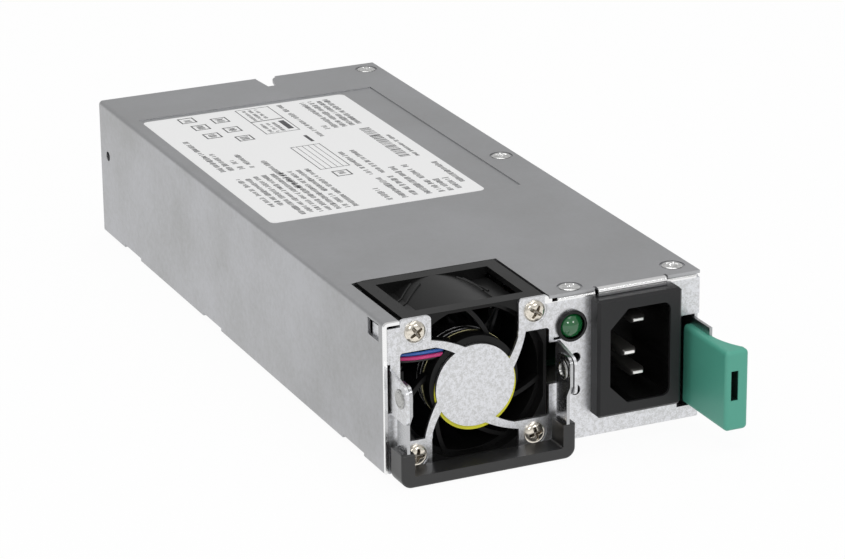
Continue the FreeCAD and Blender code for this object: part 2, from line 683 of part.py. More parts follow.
    holes = sketch_on(body, "XZ_Plane", "panel_holes", offset=FRONT_OFFSET)
    for x, z in FAN_SCREWS:
        circle(holes, x, z, "fan_screw_hole / 2")
    circle(holes, LAMP_X, "led_height", "led_barrel / 2")
    rectangle(holes, (f"{INLET_X} - bezel_width / 2 + bezel_border - gap / 2",
                      f"{INLET_X} + bezel_width / 2 - bezel_border + gap / 2"),
              ("inlet_height - bezel_tall / 2 + bezel_border - gap / 2",
               "inlet_height + bezel_tall / 2 - bezel_border + gap / 2"))
    pocket(body, "panel_hole_cut", holes, "4 * metal")

    coins = sketch_on(body, "XZ_Plane", "panel_coins", offset=FRONT_OFFSET)
    for x, z in FAN_SCREWS:
        circle(coins, x, z, "screw_head / 2 + coin_width")
    pocket(body, "panel_coin_cut", coins, "2 * coin_deep")

    latch = sketch_on(body, "XZ_Plane", "panel_latch_notch", offset=FRONT_OFFSET)
    rectangle(latch, (LATCH_NOTCH, right("-1")), ("cap_low - gap", "latch_high + 2 * gap"))
    pocket(body, "panel_latch_cut", latch, "4 * metal")

    blanks = sketch_on(body, "XZ_Plane", "panel_lug_blanks", offset=FRONT_OFFSET)
    lug_low, lug_high = "(pivot_height - 5.9)", "(pivot_height + 5.5)"
    left_room = (lug_low, f"{lug_high} + 1.2")
    rectangle(blanks, (f"{far_right} - 1", RIGHT_LUG[0]), (lug_low, f"{lug_high} - 0.4"))
    rectangle(blanks, (f"{RIGHT_LUG[0]} - 0.9", f"{RIGHT_LUG[1]} + 0.3"), (lug_high, f"{lug_high} + 0.7"))
    for height in ("pivot_height - 8.7", "pivot_height - 0.1"):
        circle(blanks, f"{RIGHT_LUG[1]} + 4.4", height, "1.35")
    rectangle(blanks, (plate_left, LEFT_LUG[0]), left_room)
    pocket(body, "panel_blank_cut", blanks, "4 * metal")
    relief = sketch_on(body, "XZ_Plane", "panel_side_relief", offset=FRONT_OFFSET)
    rectangle(relief, (plate_left, left("2 * metal")), left_room)
    pocket(body, "panel_side_cut", relief, "2 * (side_flange + metal)")

    for index, lug in enumerate((LEFT_LUG, RIGHT_LUG)):
        profile = sketch_on(body, "YZ_Plane", f"lug_outline_{index}", offset=lug[0])
        outline(profile, [
            (front("metal"), lug_low),
            (front("1.6 - lug_reach"), lug_low, "1.6", -1),
            (front("-lug_reach"), f"{lug_low} + 1.6"),
            (front("-lug_reach"), f"{lug_high} - 4.0", "2.4", -1),
            (front("2.1 - lug_reach"), f"{lug_high} - 1.62"),
            (front("metal"), lug_high),
        ])
        circle(profile, front("-pivot_out"), "pivot_height", "rivet_size / 2")
        pad(body, f"lug_{index}", profile, "metal")

    threads = sketch_on(body, "XY_Plane", "panel_screw_holes", offset=f"{TOP} - 1.5 * metal")
    for x, y in COVER_SCREWS[:2]:
        circle(threads, x, y, "1.25")
    pocket(body, "panel_screw_cut", threads, "2 * metal")
    return finish("front_panel", body)


def panel_fold_edges(edge):
    """The long outer edges of the two roof flanges."""
    top = value(f"{TOP} - metal")
    return along(edge, "x") and near(edge, y=value(front("0")), z=top) and edge.Length > 5


# ------------------------------------------------------------------ screws and rivets
def cross_recess(reach, width, depth):
    """The cross-shaped pit of a screw head, pointing down from the origin."""
    bar = Part.makeBox(reach, width, depth, Vector(-reach / 2, -width / 2, -depth))
    other = bar.copy()
    other.rotate(Vector(), Vector(0, 0, 1), 90)
    return bar.fuse(other)


def pan_screw(head_radius, head_tall, shank_radius, shank_long):
    """A screw with a bevelled head above the origin and its shank below."""
    rim = head_tall * 0.45
    shank = Part.makeCylinder(shank_radius, shank_long, Vector(0, 0, -shank_long))
    head = Part.makeCylinder(head_radius, rim)
    crown = Part.makeCone(head_radius, head_radius * 0.62, head_tall - rim, Vector(0, 0, rim))
    solid = shank.fuse([head, crown]).removeSplitter()
    pit = cross_recess(head_radius * 1.0, head_radius * 0.26, head_tall * 0.6)
    pit.translate(Vector(0, 0, head_tall))
    return solid.cut(pit)


def placed(shape, x, y, z, turn=None, spin=0.0):
    """A copy of a shape, spun about its own axis, turned and moved."""
    copy = shape.copy()
    rotation = (turn or Rotation()) * Rotation(Vector(0, 0, 1), spin)
    copy.Placement = Placement(Vector(value(x), value(y), value(z)), rotation)
    return copy


def screws():
    cover_head = pan_screw(value("cover_screw_head / 2"), value("recess_deep + 0.35"), 1.25,
                           value("2 * metal"))
    seats = [placed(cover_head, x, y, f"{TOP} - recess_deep", spin=20 + 25 * i)
             for i, (x, y) in enumerate(COVER_SCREWS)]
    group("cover_screws", seats)
    fan_head = pan_screw(value("screw_head / 2"), value("screw_head_tall"),
                         value("fan_screw_hole / 2 - 0.1"), 8)
    group("fan_screws", [placed(fan_head, x, front("coin_deep"), z, FACING_FRONT, spin=35 + 20 * i)
                         for i, (x, z) in enumerate(FAN_SCREWS)])


def handle_rivets():
    """Two pivots: a head outside each lug, a shank through lug and strap, a flat head inside."""
    pieces = []
    head = value("rivet_head / 2")
    shank = value("rivet_size / 2")
    thick = 0.5
    for lug, way in ((LEFT_LUG, 1), (RIGHT_LUG, -1)):
        outer = value(lug[0] if way > 0 else lug[1])
        stack = value("2 * metal + 2 * running_gap")
        outside = Part.makeCone(head - 0.5, head, thick, Vector(-thick, 0, 0), Vector(1, 0, 0))
        middle = Part.makeCylinder(shank, stack, Vector(0, 0, 0), Vector(1, 0, 0))
        inside = Part.makeCone(head, head - 0.5, thick, Vector(stack, 0, 0), Vector(1, 0, 0))
        rivet = outside.fuse([middle, inside]).removeSplitter()
        if way < 0:
            rivet = rivet.mirror(Vector(), Vector(1, 0, 0))
        rivet.translate(Vector(outer, value(front("-pivot_out")), value("pivot_height")))
        pieces.append(rivet)
    group("handle_rivets", pieces)


# ------------------------------------------------------------------ fan
def arc_strip(start, middle, end, wide, y_low, y_high):
    """A thin wall that follows an arc in the X-Z plane, swept along Y."""
    centre_line = Part.Arc(Vector(start[0], 0, start[1]), Vector(middle[0], 0, middle[1]),
                           Vector(end[0], 0, end[1]))
    circle_at = centre_line.toShape().Curve
    walls = []
    for offset in (-wide / 2, wide / 2):
        radius = circle_at.Radius + offset
        points = []
        for spot in (start, middle, end):
            ray = Vector(spot[0], 0, spot[1]) - circle_at.Center
            points.append(circle_at.Center + ray.normalize() * radius)
        walls.append(points)
    inner, outer = walls
    face = Part.Face(Part.Wire([
        Part.Arc(*inner).toShape(), Part.makeLine(inner[2], outer[2]),
        Part.Arc(outer[2], outer[1], outer[0]).toShape(), Part.makeLine(outer[0], inner[0]),
    ]))
    face.translate(Vector(0, y_low, 0))
    return face.extrude(Vector(0, y_high - y_low, 0))


STRUTS = 7
HUB_FACE = f"{FAN_SPAN[0]} + 0.2"


def fan_struts():
    """Curved struts from the fixed hub to the duct, worked out round the fan's centre."""
    hub = value("stator_radius") - 0.4
    duct = value("fan_size / 2 - fan_wall / 2")
    low = value(f"{FAN_SPAN[0]} + 2.5")
    high = value(f"{FAN_SPAN[0]} + 4.5")
    wide = value("strut_width")
    pieces = []
    for i in range(STRUTS):
        outer = math.radians(95 + i * 360 / STRUTS)
        spots = []
        for share in (0.0, 0.5, 1.0):
            radius = duct + (hub - duct) * share
            angle = outer - math.radians(31) * share ** 1.25
            spots.append((radius * math.cos(angle), radius * math.sin(angle)))
        pieces.append(arc_strip(*spots, wide, low, high))
    struts = pieces[0].fuse(pieces[1:])
    struts.translate(Vector(value(FAN_X), 0, value("fan_height")))
    return struts


def fan_frame():
    """Two square flanges joined by a round duct and corner rails, with the motor's fixed hub."""
    half = "fan_size / 2"
    flanges = []
    ends = ((FAN_SPAN[0], f"{FAN_SPAN[0]} + fan_flange"), (f"{FAN_SPAN[1]} - fan_flange", FAN_SPAN[1]))
    for index, span in enumerate(ends):
        plate = brick(f"fan_flange_{index}", (f"{FAN_X} - {half}", f"{FAN_X} + {half}"), span,
                      (f"fan_height - {half}", f"fan_height + {half}"))
        flanges.append(softened(f"fan_flange_round_{index}", plate, "fan_corner", lambda e: along(e, "y")))
    centre = (FAN_X, "fan_height")
    duct = rod("fan_duct", "Y", centre, FAN_SPAN, half)
    through = (f"{FAN_SPAN[0]} - 1", f"{FAN_SPAN[1]} + 1")
    bore = rod("fan_bore", "Y", centre, through, f"{half} - fan_wall")
    mouths = []
    for index, span in enumerate(((through[0], f"{FAN_SPAN[0]} + fan_flange - fan_web"),
                                  (f"{FAN_SPAN[1]} - fan_flange + fan_web", through[1]))):
        inside = f"({half} - fan_rim)"
        square = brick(f"fan_mouth_square_{index}", (f"{FAN_X} - {inside}", f"{FAN_X} + {inside}"), span,
                       (f"fan_height - {inside}", f"fan_height + {inside}"))
        mouth = doc.addObject("Part::Common", f"fan_mouth_{index}")
        mouth.Base = square
        mouth.Tool = rod(f"fan_mouth_round_{index}", "Y", centre, span, f"{half} + fan_flare")
        mouths.append(mouth)
    rails, holes = [], []
    for index, (sx, sz) in enumerate(FAN_CORNERS):
        across = sorted((f"{FAN_X} + {sx} * ({half} - fan_rim)", f"{FAN_X} + {sx} * ({half} - 4.4)"),
                        key=value)
        level = sorted((f"fan_height + {sz} * {half}", f"fan_height + {sz} * ({half} - fan_rail)"), key=value)
        rails.append(brick(f"fan_rail_{index}", across, FAN_SPAN, level))
        holes.append(rod(f"fan_hole_{index}", "Y", FAN_SCREWS[index], through, "fan_screw_hole / 2"))
    exit_slot = brick("fan_lead_exit", (f"{FAN_X} - {half} - 1", f"{FAN_X} - {half} + 4.4"),
                      (f"{FAN_SPAN[0]} - 1", f"{FAN_SPAN[0]} + fan_flange + 1.0"),
                      ("fan_height + 6.0", "fan_height + 10.6"))
    shell = less("fan_shell", joined("fan_outer", flanges + [duct] + rails),
                 [bore, exit_slot] + mouths + holes)
    hub = rod("fan_stator", "Y", centre, (HUB_FACE, f"{HUB_FACE} + stator_depth"), "stator_radius")
    struts = shaped("fan_strut_ring", fan_struts())
    return finish("fan_frame", joined("fan_frame_all", [shell, hub, struts]))


BLADES = 5


def blade_section(radius, swing, chord, pitch, thick):
    """A bowed blade section in the plane at one radius, turned about the fan's axis by swing."""
    ends = []
    for side in (-1, 1):
        row = []
        for share in (-0.5, 0.0, 0.5):
            level = side * thick / 2 * (1 - abs(share)) + 0.08 * chord * (1 - 4 * share ** 2)
            run = share * chord * math.cos(pitch) - level * math.sin(pitch)
            rise = share * chord * math.sin(pitch) + level * math.cos(pitch)
            row.append(Vector(run, rise, radius))
        ends.append(row)
    lower, upper = ends
    wire = Part.Wire([
        Part.Arc(*lower).toShape(), Part.makeLine(lower[2], upper[2]),
        Part.Arc(upper[2], upper[1], upper[0]).toShape(), Part.makeLine(upper[0], lower[0]),
    ])
    wire.rotate(Vector(), Vector(0, 1, 0), swing)
    return wire


def fan_rotor():
    """The turning hub with its swept blades, trimmed to the duct."""
    hub_radius = value("rotor_radius")
    tip = value("fan_size / 2 - fan_wall - blade_gap")
    start = value(f"{HUB_FACE} + stator_depth + blade_gap")
    end = value(f"{FAN_SPAN[1]} - 1.5")
    depth = end - start
    hub = Part.makeCylinder(hub_radius, depth, Vector(0, start, 0), Vector(0, 1, 0))
    rim = [edge for edge in hub.Edges if edge.Closed and abs(edge.CenterOfMass.y - end) < 0.01]
    hub = hub.makeFillet(1.5, rim)
    root = blade_section(hub_radius - 1.8, 0, depth * 0.80, math.radians(58), 2.0)
    outer = blade_section(tip + 0.2, -16, depth * 0.95, math.radians(44), 1.3)
    blade = Part.makeLoft([root, outer], True, True)
    blade.translate(Vector(0, (start + end) / 2 - 0.8, 0))
    sweep = Part.makeCylinder(tip, depth - 1.0, Vector(0, start + 0.5, 0), Vector(0, 1, 0))
    blade = blade.common(sweep)
    blades = []
    for i in range(BLADES):
        copy = blade.copy()
        copy.rotate(Vector(), Vector(0, 1, 0), i * 360 / BLADES)
        blades.append(copy)
    rotor = hub.fuse(blades)
    rotor.translate(Vector(value(FAN_X), 0, value("fan_height")))
    return finish("fan_rotor", shaped("fan_rotor_all", rotor))


def fan_label():
    disc = rod("fan_label_disc", "Y", (f"{FAN_X} + 0.3", "fan_height - 1.4"),
               (f"{HUB_FACE} - 0.15", HUB_FACE), "sticker_radius")
    return finish("fan_label", disc)


# ------------------------------------------------------------------ leads
def tube(points, radius):
    """A lead along straight runs joined by tangent arcs, as large as the runs allow."""
    edges = []
    radii = []
    last = points[0]
    for before, corner, after in zip(points, points[1:], points[2:]):
        back = (before - corner)
        ahead = (after - corner)
        shorter = min(back.Length, ahead.Length)
        turn = math.pi - back.getAngle(ahead)
        reach = 0.45 * shorter
        radii.append(reach / math.tan(turn / 2))
        start = corner + back.normalize() * reach
        end = corner + ahead.normalize() * reach
        bisector = (back + ahead).normalize()
        centre_far = reach / math.cos(math.pi / 2 - turn / 2) if turn else 0
        middle = corner + bisector * (centre_far - radii[-1])
        edges.append(Part.makeLine(last, start))
        edges.append(Part.Arc(start, middle, end).toShape())
        last = end
    edges.append(Part.makeLine(last, points[-1]))
    path = Part.Wire(edges)
    direction = points[1] - points[0]
    ring = Part.Wire(Part.makeCircle(radius, points[0], direction))
    solid = path.makePipeShell([ring], True, False, 0)
    return solid, path.Length, radii


LEAD_RADIUS = 0.5
# Name, height above the fan's centre and depth behind the first lead.
LEADS = (("fan_lead_blue", 9.15, 0.85), ("fan_lead_red", 8.4, 0.0), ("fan_lead_black", 7.5, 0.85))


def fan_leads():
    """Three thin leads from the fan's motor, out through its slot and back to the board."""
    origin = Vector(value(FAN_X), value(FAN_SPAN[0]), value("fan_height"))
    plug_top = value("board_height + board_thick + 7.1")
    for index, (name, height, depth) in enumerate(LEADS):
        hub_side = -math.sqrt(max(value("stator_radius") ** 2 - height ** 2, 0)) + 0.6
        plug_x = value(left("8.5")) + 1.6 * index
        spread = 0.5 * (1 - index)
        points = [
            origin + Vector(hub_side, 0.9 + depth, height),
            origin + Vector(-15.6 + 0.4 * depth, 0.8 + depth, height + 0.1),
            origin + Vector(-21.3 + depth, 3.6 + 0.3 * depth, height - 0.1),
            origin + Vector(-21.5 + depth, 13.5, height - 0.8 + spread),
            origin + Vector(-21.2 + 0.6 * depth, 29.8, height - 1.6 + 1.4 * spread),
            Vector(plug_x - 1.0, value(front("35.5")), origin.z + height - 3.4 + 1.4 * spread),
            Vector(plug_x, value(front("39.4")), plug_top + 4.4),
            Vector(plug_x, value(front("39.4")), plug_top),
        ]
        solid, length, radii = tube(points, LEAD_RADIUS)
        expected = math.pi * LEAD_RADIUS ** 2 * length
        print(f"{name}: length {length:.1f} volume ratio {solid.Volume / expected:.4f}",
              "radii", " ".join(f"{r:.1f}" for r in radii))
        finish(name, shaped(name, solid))


def fan_plug():
    """The fan's plug, seated in its header on the main board."""
    low = "board_height + board_thick"
    x = (left("6.4"), left("13.8"))
    y = (front("36.4"), front("42.4"))
    header = brick("fan_header_base", x, y, (low, f"{low} + 3.0"))
    plug = brick("fan_plug_top", (f"{x[0]} + 0.6", f"{x[1]} - 0.6"), (f"{y[0]} + 0.8", f"{y[1]} - 0.8"),
                 (f"{low} + 3.0", f"{low} + 7.1"))
    return finish("fan_plug", joined("fan_plug_all", [header, plug]))


# ------------------------------------------------------------------ inlet
def inlet_housing():
    """Moulded appliance inlet: bezel, body behind the panel, and a keyed socket."""
    body = new_body("inlet_body")
    origin = (INLET_X, "inlet_height")
    bezel_face = f"{FRONT_OFFSET} + bezel_proud"
    bezel = sketch_on(body, "XZ_Plane", "bezel_outline", offset=bezel_face, origin=origin)
    rectangle(bezel, ("-bezel_width / 2", "bezel_width / 2"), ("-bezel_tall / 2", "bezel_tall / 2"))
    pad(body, "bezel", bezel, "bezel_proud", backwards=True)
    bevel_edges(body, "bezel_bevel", "0.7",
                lambda e: near(e, y=value(front("-bezel_proud"))) or along(e, "y"))
    block = sketch_on(body, "XZ_Plane", "inlet_block", offset=FRONT_OFFSET, origin=origin)
    wide = "(bezel_width / 2 - bezel_border)"
    tall = "(bezel_tall / 2 - bezel_border)"
    rectangle(block, (f"-{wide}", wide), (f"-{tall}", tall))
    pad(body, "inlet_back_block", block, "inlet_back", backwards=True)
    socket = sketch_on(body, "XZ_Plane", "socket_outline", offset=bezel_face, origin=origin)
    x, z = "socket_width / 2", "socket_tall / 2"
    outline(socket, [
        (f"-{x} + socket_corner", f"-{z}"), (f"{x} - 2", f"-{z}", "2", 1),
        (x, f"-{z} + 2"), (x, f"{z} - 2", "2", 1),
        (f"{x} - 2", z), (f"-{x} + socket_corner", z),
        (f"-{x}", f"{z} - socket_corner"), (f"-{x}", f"-{z} + socket_corner"),
    ])
    pocket(body, "socket", socket, "2 * (bezel_proud + inlet_back - socket_floor)")
    pins = sketch_on(body, "XZ_Plane", "blade_holes", offset="case_length / 2 - inlet_back", origin=origin)
    for px, pz, _ in BLADE_PLACES:
        rectangle(pins, (f"{px} - pin_wide / 2", f"{px} + pin_wide / 2"),
                  (f"{pz} - pin_thick / 2", f"{pz} + pin_thick / 2"))
    pocket(body, "blade_hole_cut", pins, "4 * socket_floor")
    return finish("inlet_housing", body)


BLADE_PLACES = (
    ("pin_offset", "pin_pitch / 2", ("line_blade", "0.8")),
    ("pin_offset", "-pin_pitch / 2", ("neutral_blade", "0.8")),
    ("-pin_offset", "0", ("earth_blade", "-2.2")),
)


def inlet_blades():
    for px, pz, (name, tip) in BLADE_PLACES:
        x = f"{INLET_X} + {px}"
        z = f"inlet_height + {pz}"
        blade = brick(name + "_bar", (f"{x} - pin_wide / 2", f"{x} + pin_wide / 2"),
                      (front(tip), front("inlet_back + 4.5")),
                      (f"{z} - pin_thick / 2", f"{z} + pin_thick / 2"))
        tip_y = front(tip)
        blade = softened(name + "_tip", blade, "0.6",
                         lambda e, y=tip_y: near(e, y=value(y)))
        finish(name, blade)


# ------------------------------------------------------------------ status lamp
def status_lamp():
    """A black snap-in holder with a clear green dome."""
    face = front("0")
    centre = (LAMP_X, "led_height")
    snug = "(led_barrel / 2)"
    rim = rod("led_rim", "Y", centre, (front("-0.9"), face), "led_holder_size / 2")
    rim = softened("led_rim_soft", rim, "0.35", lambda e: e.Closed and near(e, y=value(front("-0.9"))))
    barrel = rod("led_barrel", "Y", centre, (face, front("9")), snug)
    well = rod("led_well", "Y", centre, (front("-2"), front("11")), "led_size / 2")
    finish("led_holder", less("led_holder_all", joined("led_holder_outer", [rim, barrel]), [well]))

    radius = value("led_size / 2")
    rise = 0.72 * radius
    stem = 8.5
    ball = (radius ** 2 + rise ** 2) / (2 * rise)
    halfway = Vector(radius / 2, 0, rise - ball + math.sqrt(ball ** 2 - radius ** 2 / 4))
    profile = Part.Wire([
        Part.makePolygon([Vector(0, 0, rise), Vector(0, 0, -stem), Vector(radius, 0, -stem),
                          Vector(radius, 0, 0)]),
        Part.Arc(Vector(radius, 0, 0), halfway, Vector(0, 0, rise)).toShape(),
    ])
    lens = Part.Face(profile).revolve(Vector(), Vector(0, 0, 1), 360)
    lens = placed(lens, centre[0], front("0.4"), centre[1], FACING_FRONT)
    finish("led_lens", shaped("led_lens_all", lens))


# ------------------------------------------------------------------ handle
STRAP_LEFT = (f"{LEFT_LUG[1]} + running_gap", f"{LEFT_LUG[1]} + running_gap + metal")
STRAP_RIGHT = (f"{RIGHT_LUG[0]} - running_gap - metal", f"{RIGHT_LUG[0]} - running_gap")
GRIP_REAR = front("-grip_back")
GRIP_FRONT = front("-grip_back - grip_depth")
STRAP_REAR = front("-strap_back")
STRAP_FRONT = front("-strap_back - strap_width")


def handle_frame():
    """A steel strap bent to a U, with a wider rounded head at each pivot."""
    sides = []
    floor = "(grip_floor / 2 - metal / 2 - grip_below)"
    for index, (low, high) in enumerate((STRAP_LEFT, STRAP_RIGHT)):
        body = new_body(f"strap_side_{index}")
        profile = sketch_on(body, "YZ_Plane", f"strap_outline_{index}", offset=low)
        head_rear = f"{STRAP_REAR}"
        head_front = f"{STRAP_REAR} - strap_head"
        outline(profile, [
            (STRAP_FRONT, floor), (STRAP_REAR, floor),
            (head_rear, "pivot_height + 1.2", "3.2", 1),
            (f"{head_rear} - 2.6", "pivot_height + 3.8"),
            (f"{head_front} + 2.0", "pivot_height + 3.8", "2.0", 1),
            (head_front, "pivot_height + 1.8"),
            (head_front, "pivot_height - 3.6"),
            (STRAP_FRONT, "pivot_height - 6.6"),
        ])
        circle(profile, front("-pivot_out"), "pivot_height", "rivet_size / 2 + rivet_gap")
        pad(body, f"strap_pad_{index}", profile, f"({high}) - ({low})")
        sides.append(body)
    cross = brick("strap_cross", (STRAP_LEFT[0], STRAP_RIGHT[1]), (STRAP_FRONT, STRAP_REAR),
                  (floor, f"{floor} + metal"))
    return finish("handle_frame", joined("handle_frame_all", sides + [cross]))


def handle_grip(frame):
    """Moulded U-shaped grip that is closed round the foot of the strap."""
    body = new_body("grip_body")
    middle = left("lug_from_left + lug_span / 2")
    grip = sketch_on(body, "XZ_Plane", "grip_outline", offset="case_length / 2 + grip_back",
                     origin=(middle, "-grip_below"))
    half = "grip_width / 2"
    outline(grip, [
        (f"-{half} + 2.8", "0"), (f"{half} - 2.8", "0", "2.8", 1),
        (half, "2.8"), (half, "grip_tall"),
        (f"{half} - grip_leg", "grip_tall"), (f"{half} - grip_leg", "grip_floor + 0.5", "0.5", -1),
        (f"{half} - grip_leg - 0.5", "grip_floor"),
        (f"-{half} + grip_leg + 0.5", "grip_floor", "0.5", -1),
        (f"-{half} + grip_leg", "grip_floor + 0.5"), (f"-{half} + grip_leg", "grip_tall"),
        (f"-{half}", "grip_tall"), (f"-{half}", "2.8", "2.8", 1),
    ])
    pad(body, "grip_block", grip, "grip_depth")
    round_edges(body, "grip_soft", "0.7", grip_soft_edges)
    return finish("handle_grip", less("handle_grip_all", body, [frame]))


def grip_soft_edges(edge):
    """The outer edges of the grip's front face."""
    if not near(edge, y=value(GRIP_FRONT)):
        return False
    middle = edge.CenterOfMass
    centre = value(left("lug_from_left + lug_span / 2"))
    outer = abs(middle.x - centre) > value("grip_width / 2") - 3.0
    return outer or middle.z < 0


# ------------------------------------------------------------------ latch
LATCH_FACE = right("metal + latch_gap")
LATCH_BACK = right("2 * metal + latch_gap")
LATCH_MIDDLE = right("1.5 * metal + latch_gap")
LATCH_ENDS = ("latch_line - 7", "latch_line + 7")


def latch_lever():
    """A tall spring-steel blade inside the right wall; its tongue carries the cap."""
    body = new_body("lever_body")
    blade = sketch_on(body, "YZ_Plane", "lever_outline", offset=LATCH_BACK)
    outline(blade, [
        (front("latch_pivot"), LATCH_ENDS[0]),
        (front("latch_pivot"), LATCH_ENDS[1]),
        (front("26"), LATCH_ENDS[1]),
        (front("21"), "latch_high"),
        (front("-8.6"), "latch_high"),
        (front("-8.6"), "cap_high - 2.4"),
        (front("0.7 + cap_slot - cap_reach"), "cap_high - 4.2"),
        (front("0.7 + cap_slot - cap_reach"), "cap_low + 7.9"),
        (front("-9.5"), "cap_low + 3.0"),
        (front("-1.5"), "latch_low"),
        (front("21"), "latch_low"),
        (front("26"), LATCH_ENDS[0]),
    ])
    pad(body, "lever_pad", blade, "metal")
    knuckle = rod("lever_knuckle", "Z", (LATCH_MIDDLE, front("latch_pivot")),
                  LATCH_ENDS, "metal / 2")
    return finish("latch_lever", joined("latch_lever_all", [body, knuckle]))


def latch_cap(lever):
    """A moulded cap on the lever's tongue, scooped on its outer side for a thumb."""
    body = new_body("cap_body")
    plan = sketch_on(body, "XY_Plane", "cap_plan", offset="cap_low")
    inner = right("cap_from_right")
    outer = right("cap_from_right - cap_width")
    outline(plan, [
        (inner, front("metal + 0.1")),
        (inner, front("-cap_reach")),
        (outer, front("-cap_reach")),
        (outer, front("2.6 - cap_reach"), "19", -1),
        (f"{outer} - 2.7", front("-2.8")),
        (f"{outer} - 2.7", front("-0.3")),
        (right("metal + gap"), front("-0.3")),
        (right("metal + gap"), front("metal + 0.1")),
    ])
    pad(body, "cap_block", plan, "cap_high - cap_low")
    round_edges(body, "cap_soft", "1.2", cap_soft_edges)
    slot = sketch_on(body, "XZ_Plane", "cap_slot", offset="case_length / 2 + cap_reach",
                     origin=(right("1.35"), "latch_line + 0.2"))
    rectangle(slot, ("-1.0", "1.0"), ("-3.9", "3.9"))
    pocket(body, "cap_slot_cut", slot, "2 * cap_slot")
    return finish("latch_cap", less("latch_cap_all", body, [lever]))


def cap_soft_edges(edge):
    """Upper and lower rims, except where the cap meets the case."""
    middle = edge.CenterOfMass
    rim = abs(middle.z - value("cap_high")) < 0.01 or abs(middle.z - value("cap_low")) < 0.01
    return (rim and middle.y < value(front("-1"))) or near(edge, y=value(front("-cap_reach")))


def latch_tooth():
    """A wedge on the lever that stands through the right wall; steep towards the handle end."""
    body = new_body("tooth_body")
    plan = sketch_on(body, "XY_Plane", "tooth_plan", offset="latch_line - tooth_tall / 2")
    outline(plan, [
        (LATCH_FACE, front("tooth_front")),
        (right("-tooth_proud"), front("tooth_front")),
        (right("-tooth_proud"), front("tooth_front + 1.6")),
        (right("-0.1"), front("tooth_front + tooth_long - 1")),
        (LATCH_FACE, front("tooth_front + tooth_long")),
    ])
    pad(body, "tooth_pad", plan, "tooth_tall")
    return finish("latch_tooth", body)


def latch_spring():
    """The fixed tail of the blade, clamped to the right wall by a packing strip and two rivets."""
    tail = brick("latch_tail", (LATCH_BACK, LATCH_FACE), (front("latch_pivot"), front("latch_pivot + 13")),
                 LATCH_ENDS)
    pad_strip = brick("latch_packing", (LATCH_FACE, right("metal")),
                      (front("latch_pivot + 2"), front("latch_pivot + 13")), LATCH_ENDS)
    spots = [(front("latch_pivot + 7.5"), f"latch_line {side} 4") for side in "+-"]
    holes = [rod(f"latch_rivet_hole_{i}", "X", spot, (right("4"), right("0")), "1.25")
             for i, spot in enumerate(spots)]
    seat = rod("latch_knuckle_seat", "Z", (LATCH_MIDDLE, front("latch_pivot")),
               ("latch_line - 8", "latch_line + 8"), "metal / 2 + rivet_gap")
    tail = joined("latch_tail_all", [tail, pad_strip])
    finish("latch_spring", less("latch_spring_all", tail, holes + [seat]))
    rivets = []
    for y, z in spots:
        inner = value(LATCH_BACK)
        shank = Part.makeCylinder(1.25, value("metal + latch_gap"), Vector(inner, 0, 0), Vector(1, 0, 0))
        head = Part.makeCone(1.6, 2.2, 0.7, Vector(inner - 0.7, 0, 0), Vector(1, 0, 0))
        rivet = shank.fuse(head).removeSplitter()
        rivet.translate(Vector(0, value(y), value(z)))
        rivets.append(rivet)
    group("latch_rivets", rivets)


# ------------------------------------------------------------------ boards and what stands on them
BOARD_TOP = "(board_height + board_thick)"
BOARD_X = (left("2 * metal + board_margin"), right("2 * metal + board_margin"))
BOARD_Y = (front("board_start"), rear("metal + board_margin"))
STANDOFFS = (
    (f"{BOARD_X[0]} + 5", f"{BOARD_Y[0]} + 15"),
    (f"{BOARD_X[1]} - 5", f"{BOARD_Y[0]} + 5"),
    (f"{BOARD_X[0]} + 5", f"{BOARD_Y[1]} - 5"),
    (f"{BOARD_X[1]} - 5", f"{BOARD_Y[1]} - 5"),
)


def six_sided(across, tall):
    """A six-sided post, its size taken over the flats."""
    reach = across / math.sqrt(3)
    corners = [Vector(reach * math.cos(math.radians(60 * i)), reach * math.sin(math.radians(60 * i)), 0)
               for i in range(7)]
    return Part.Face(Part.makePolygon(corners)).extrude(Vector(0, 0, tall))


def main_board():
    plate = brick("board_plate", BOARD_X, BOARD_Y, ("board_height", BOARD_TOP))
    holes = [rod(f"board_hole_{i}", "Z", spot, ("board_height - 1", f"{BOARD_TOP} + 1"), "1.6")
             for i, spot in enumerate(STANDOFFS)]
    finish("main_board", less("main_board_all", plate, holes))
    film = brick("film_plate", (left("3 * metal"), right("3 * metal")), (f"{BOARD_Y[0]} - 1", rear("6.2")),
                 ("metal", "metal + 0.4"))
    room = [rod(f"film_hole_{i}", "Z", spot, ("0", "metal + 1"), "2.8") for i, spot in enumerate(STANDOFFS)]
    finish("insulator_sheet", less("insulator_all", film, room))
    posts, bolts = [], []
    thread, well = 1.3, 3.2
    for x, y in STANDOFFS:
        tall = value("board_height - metal")
        post = six_sided(4.8, tall).cut(Part.makeCylinder(thread, well, Vector(0, 0, tall - well)))
        posts.append(placed(post, x, y, "metal"))
        shank = value("board_thick") + 3.0
        bolt = Part.makeCylinder(thread, shank, Vector(0, 0, -shank)).fuse(Part.makeCylinder(2.7, 1.2))
        bolts.append(placed(bolt.removeSplitter(), x, y, BOARD_TOP))
    group("standoffs", posts)
    group("board_screws", bolts)


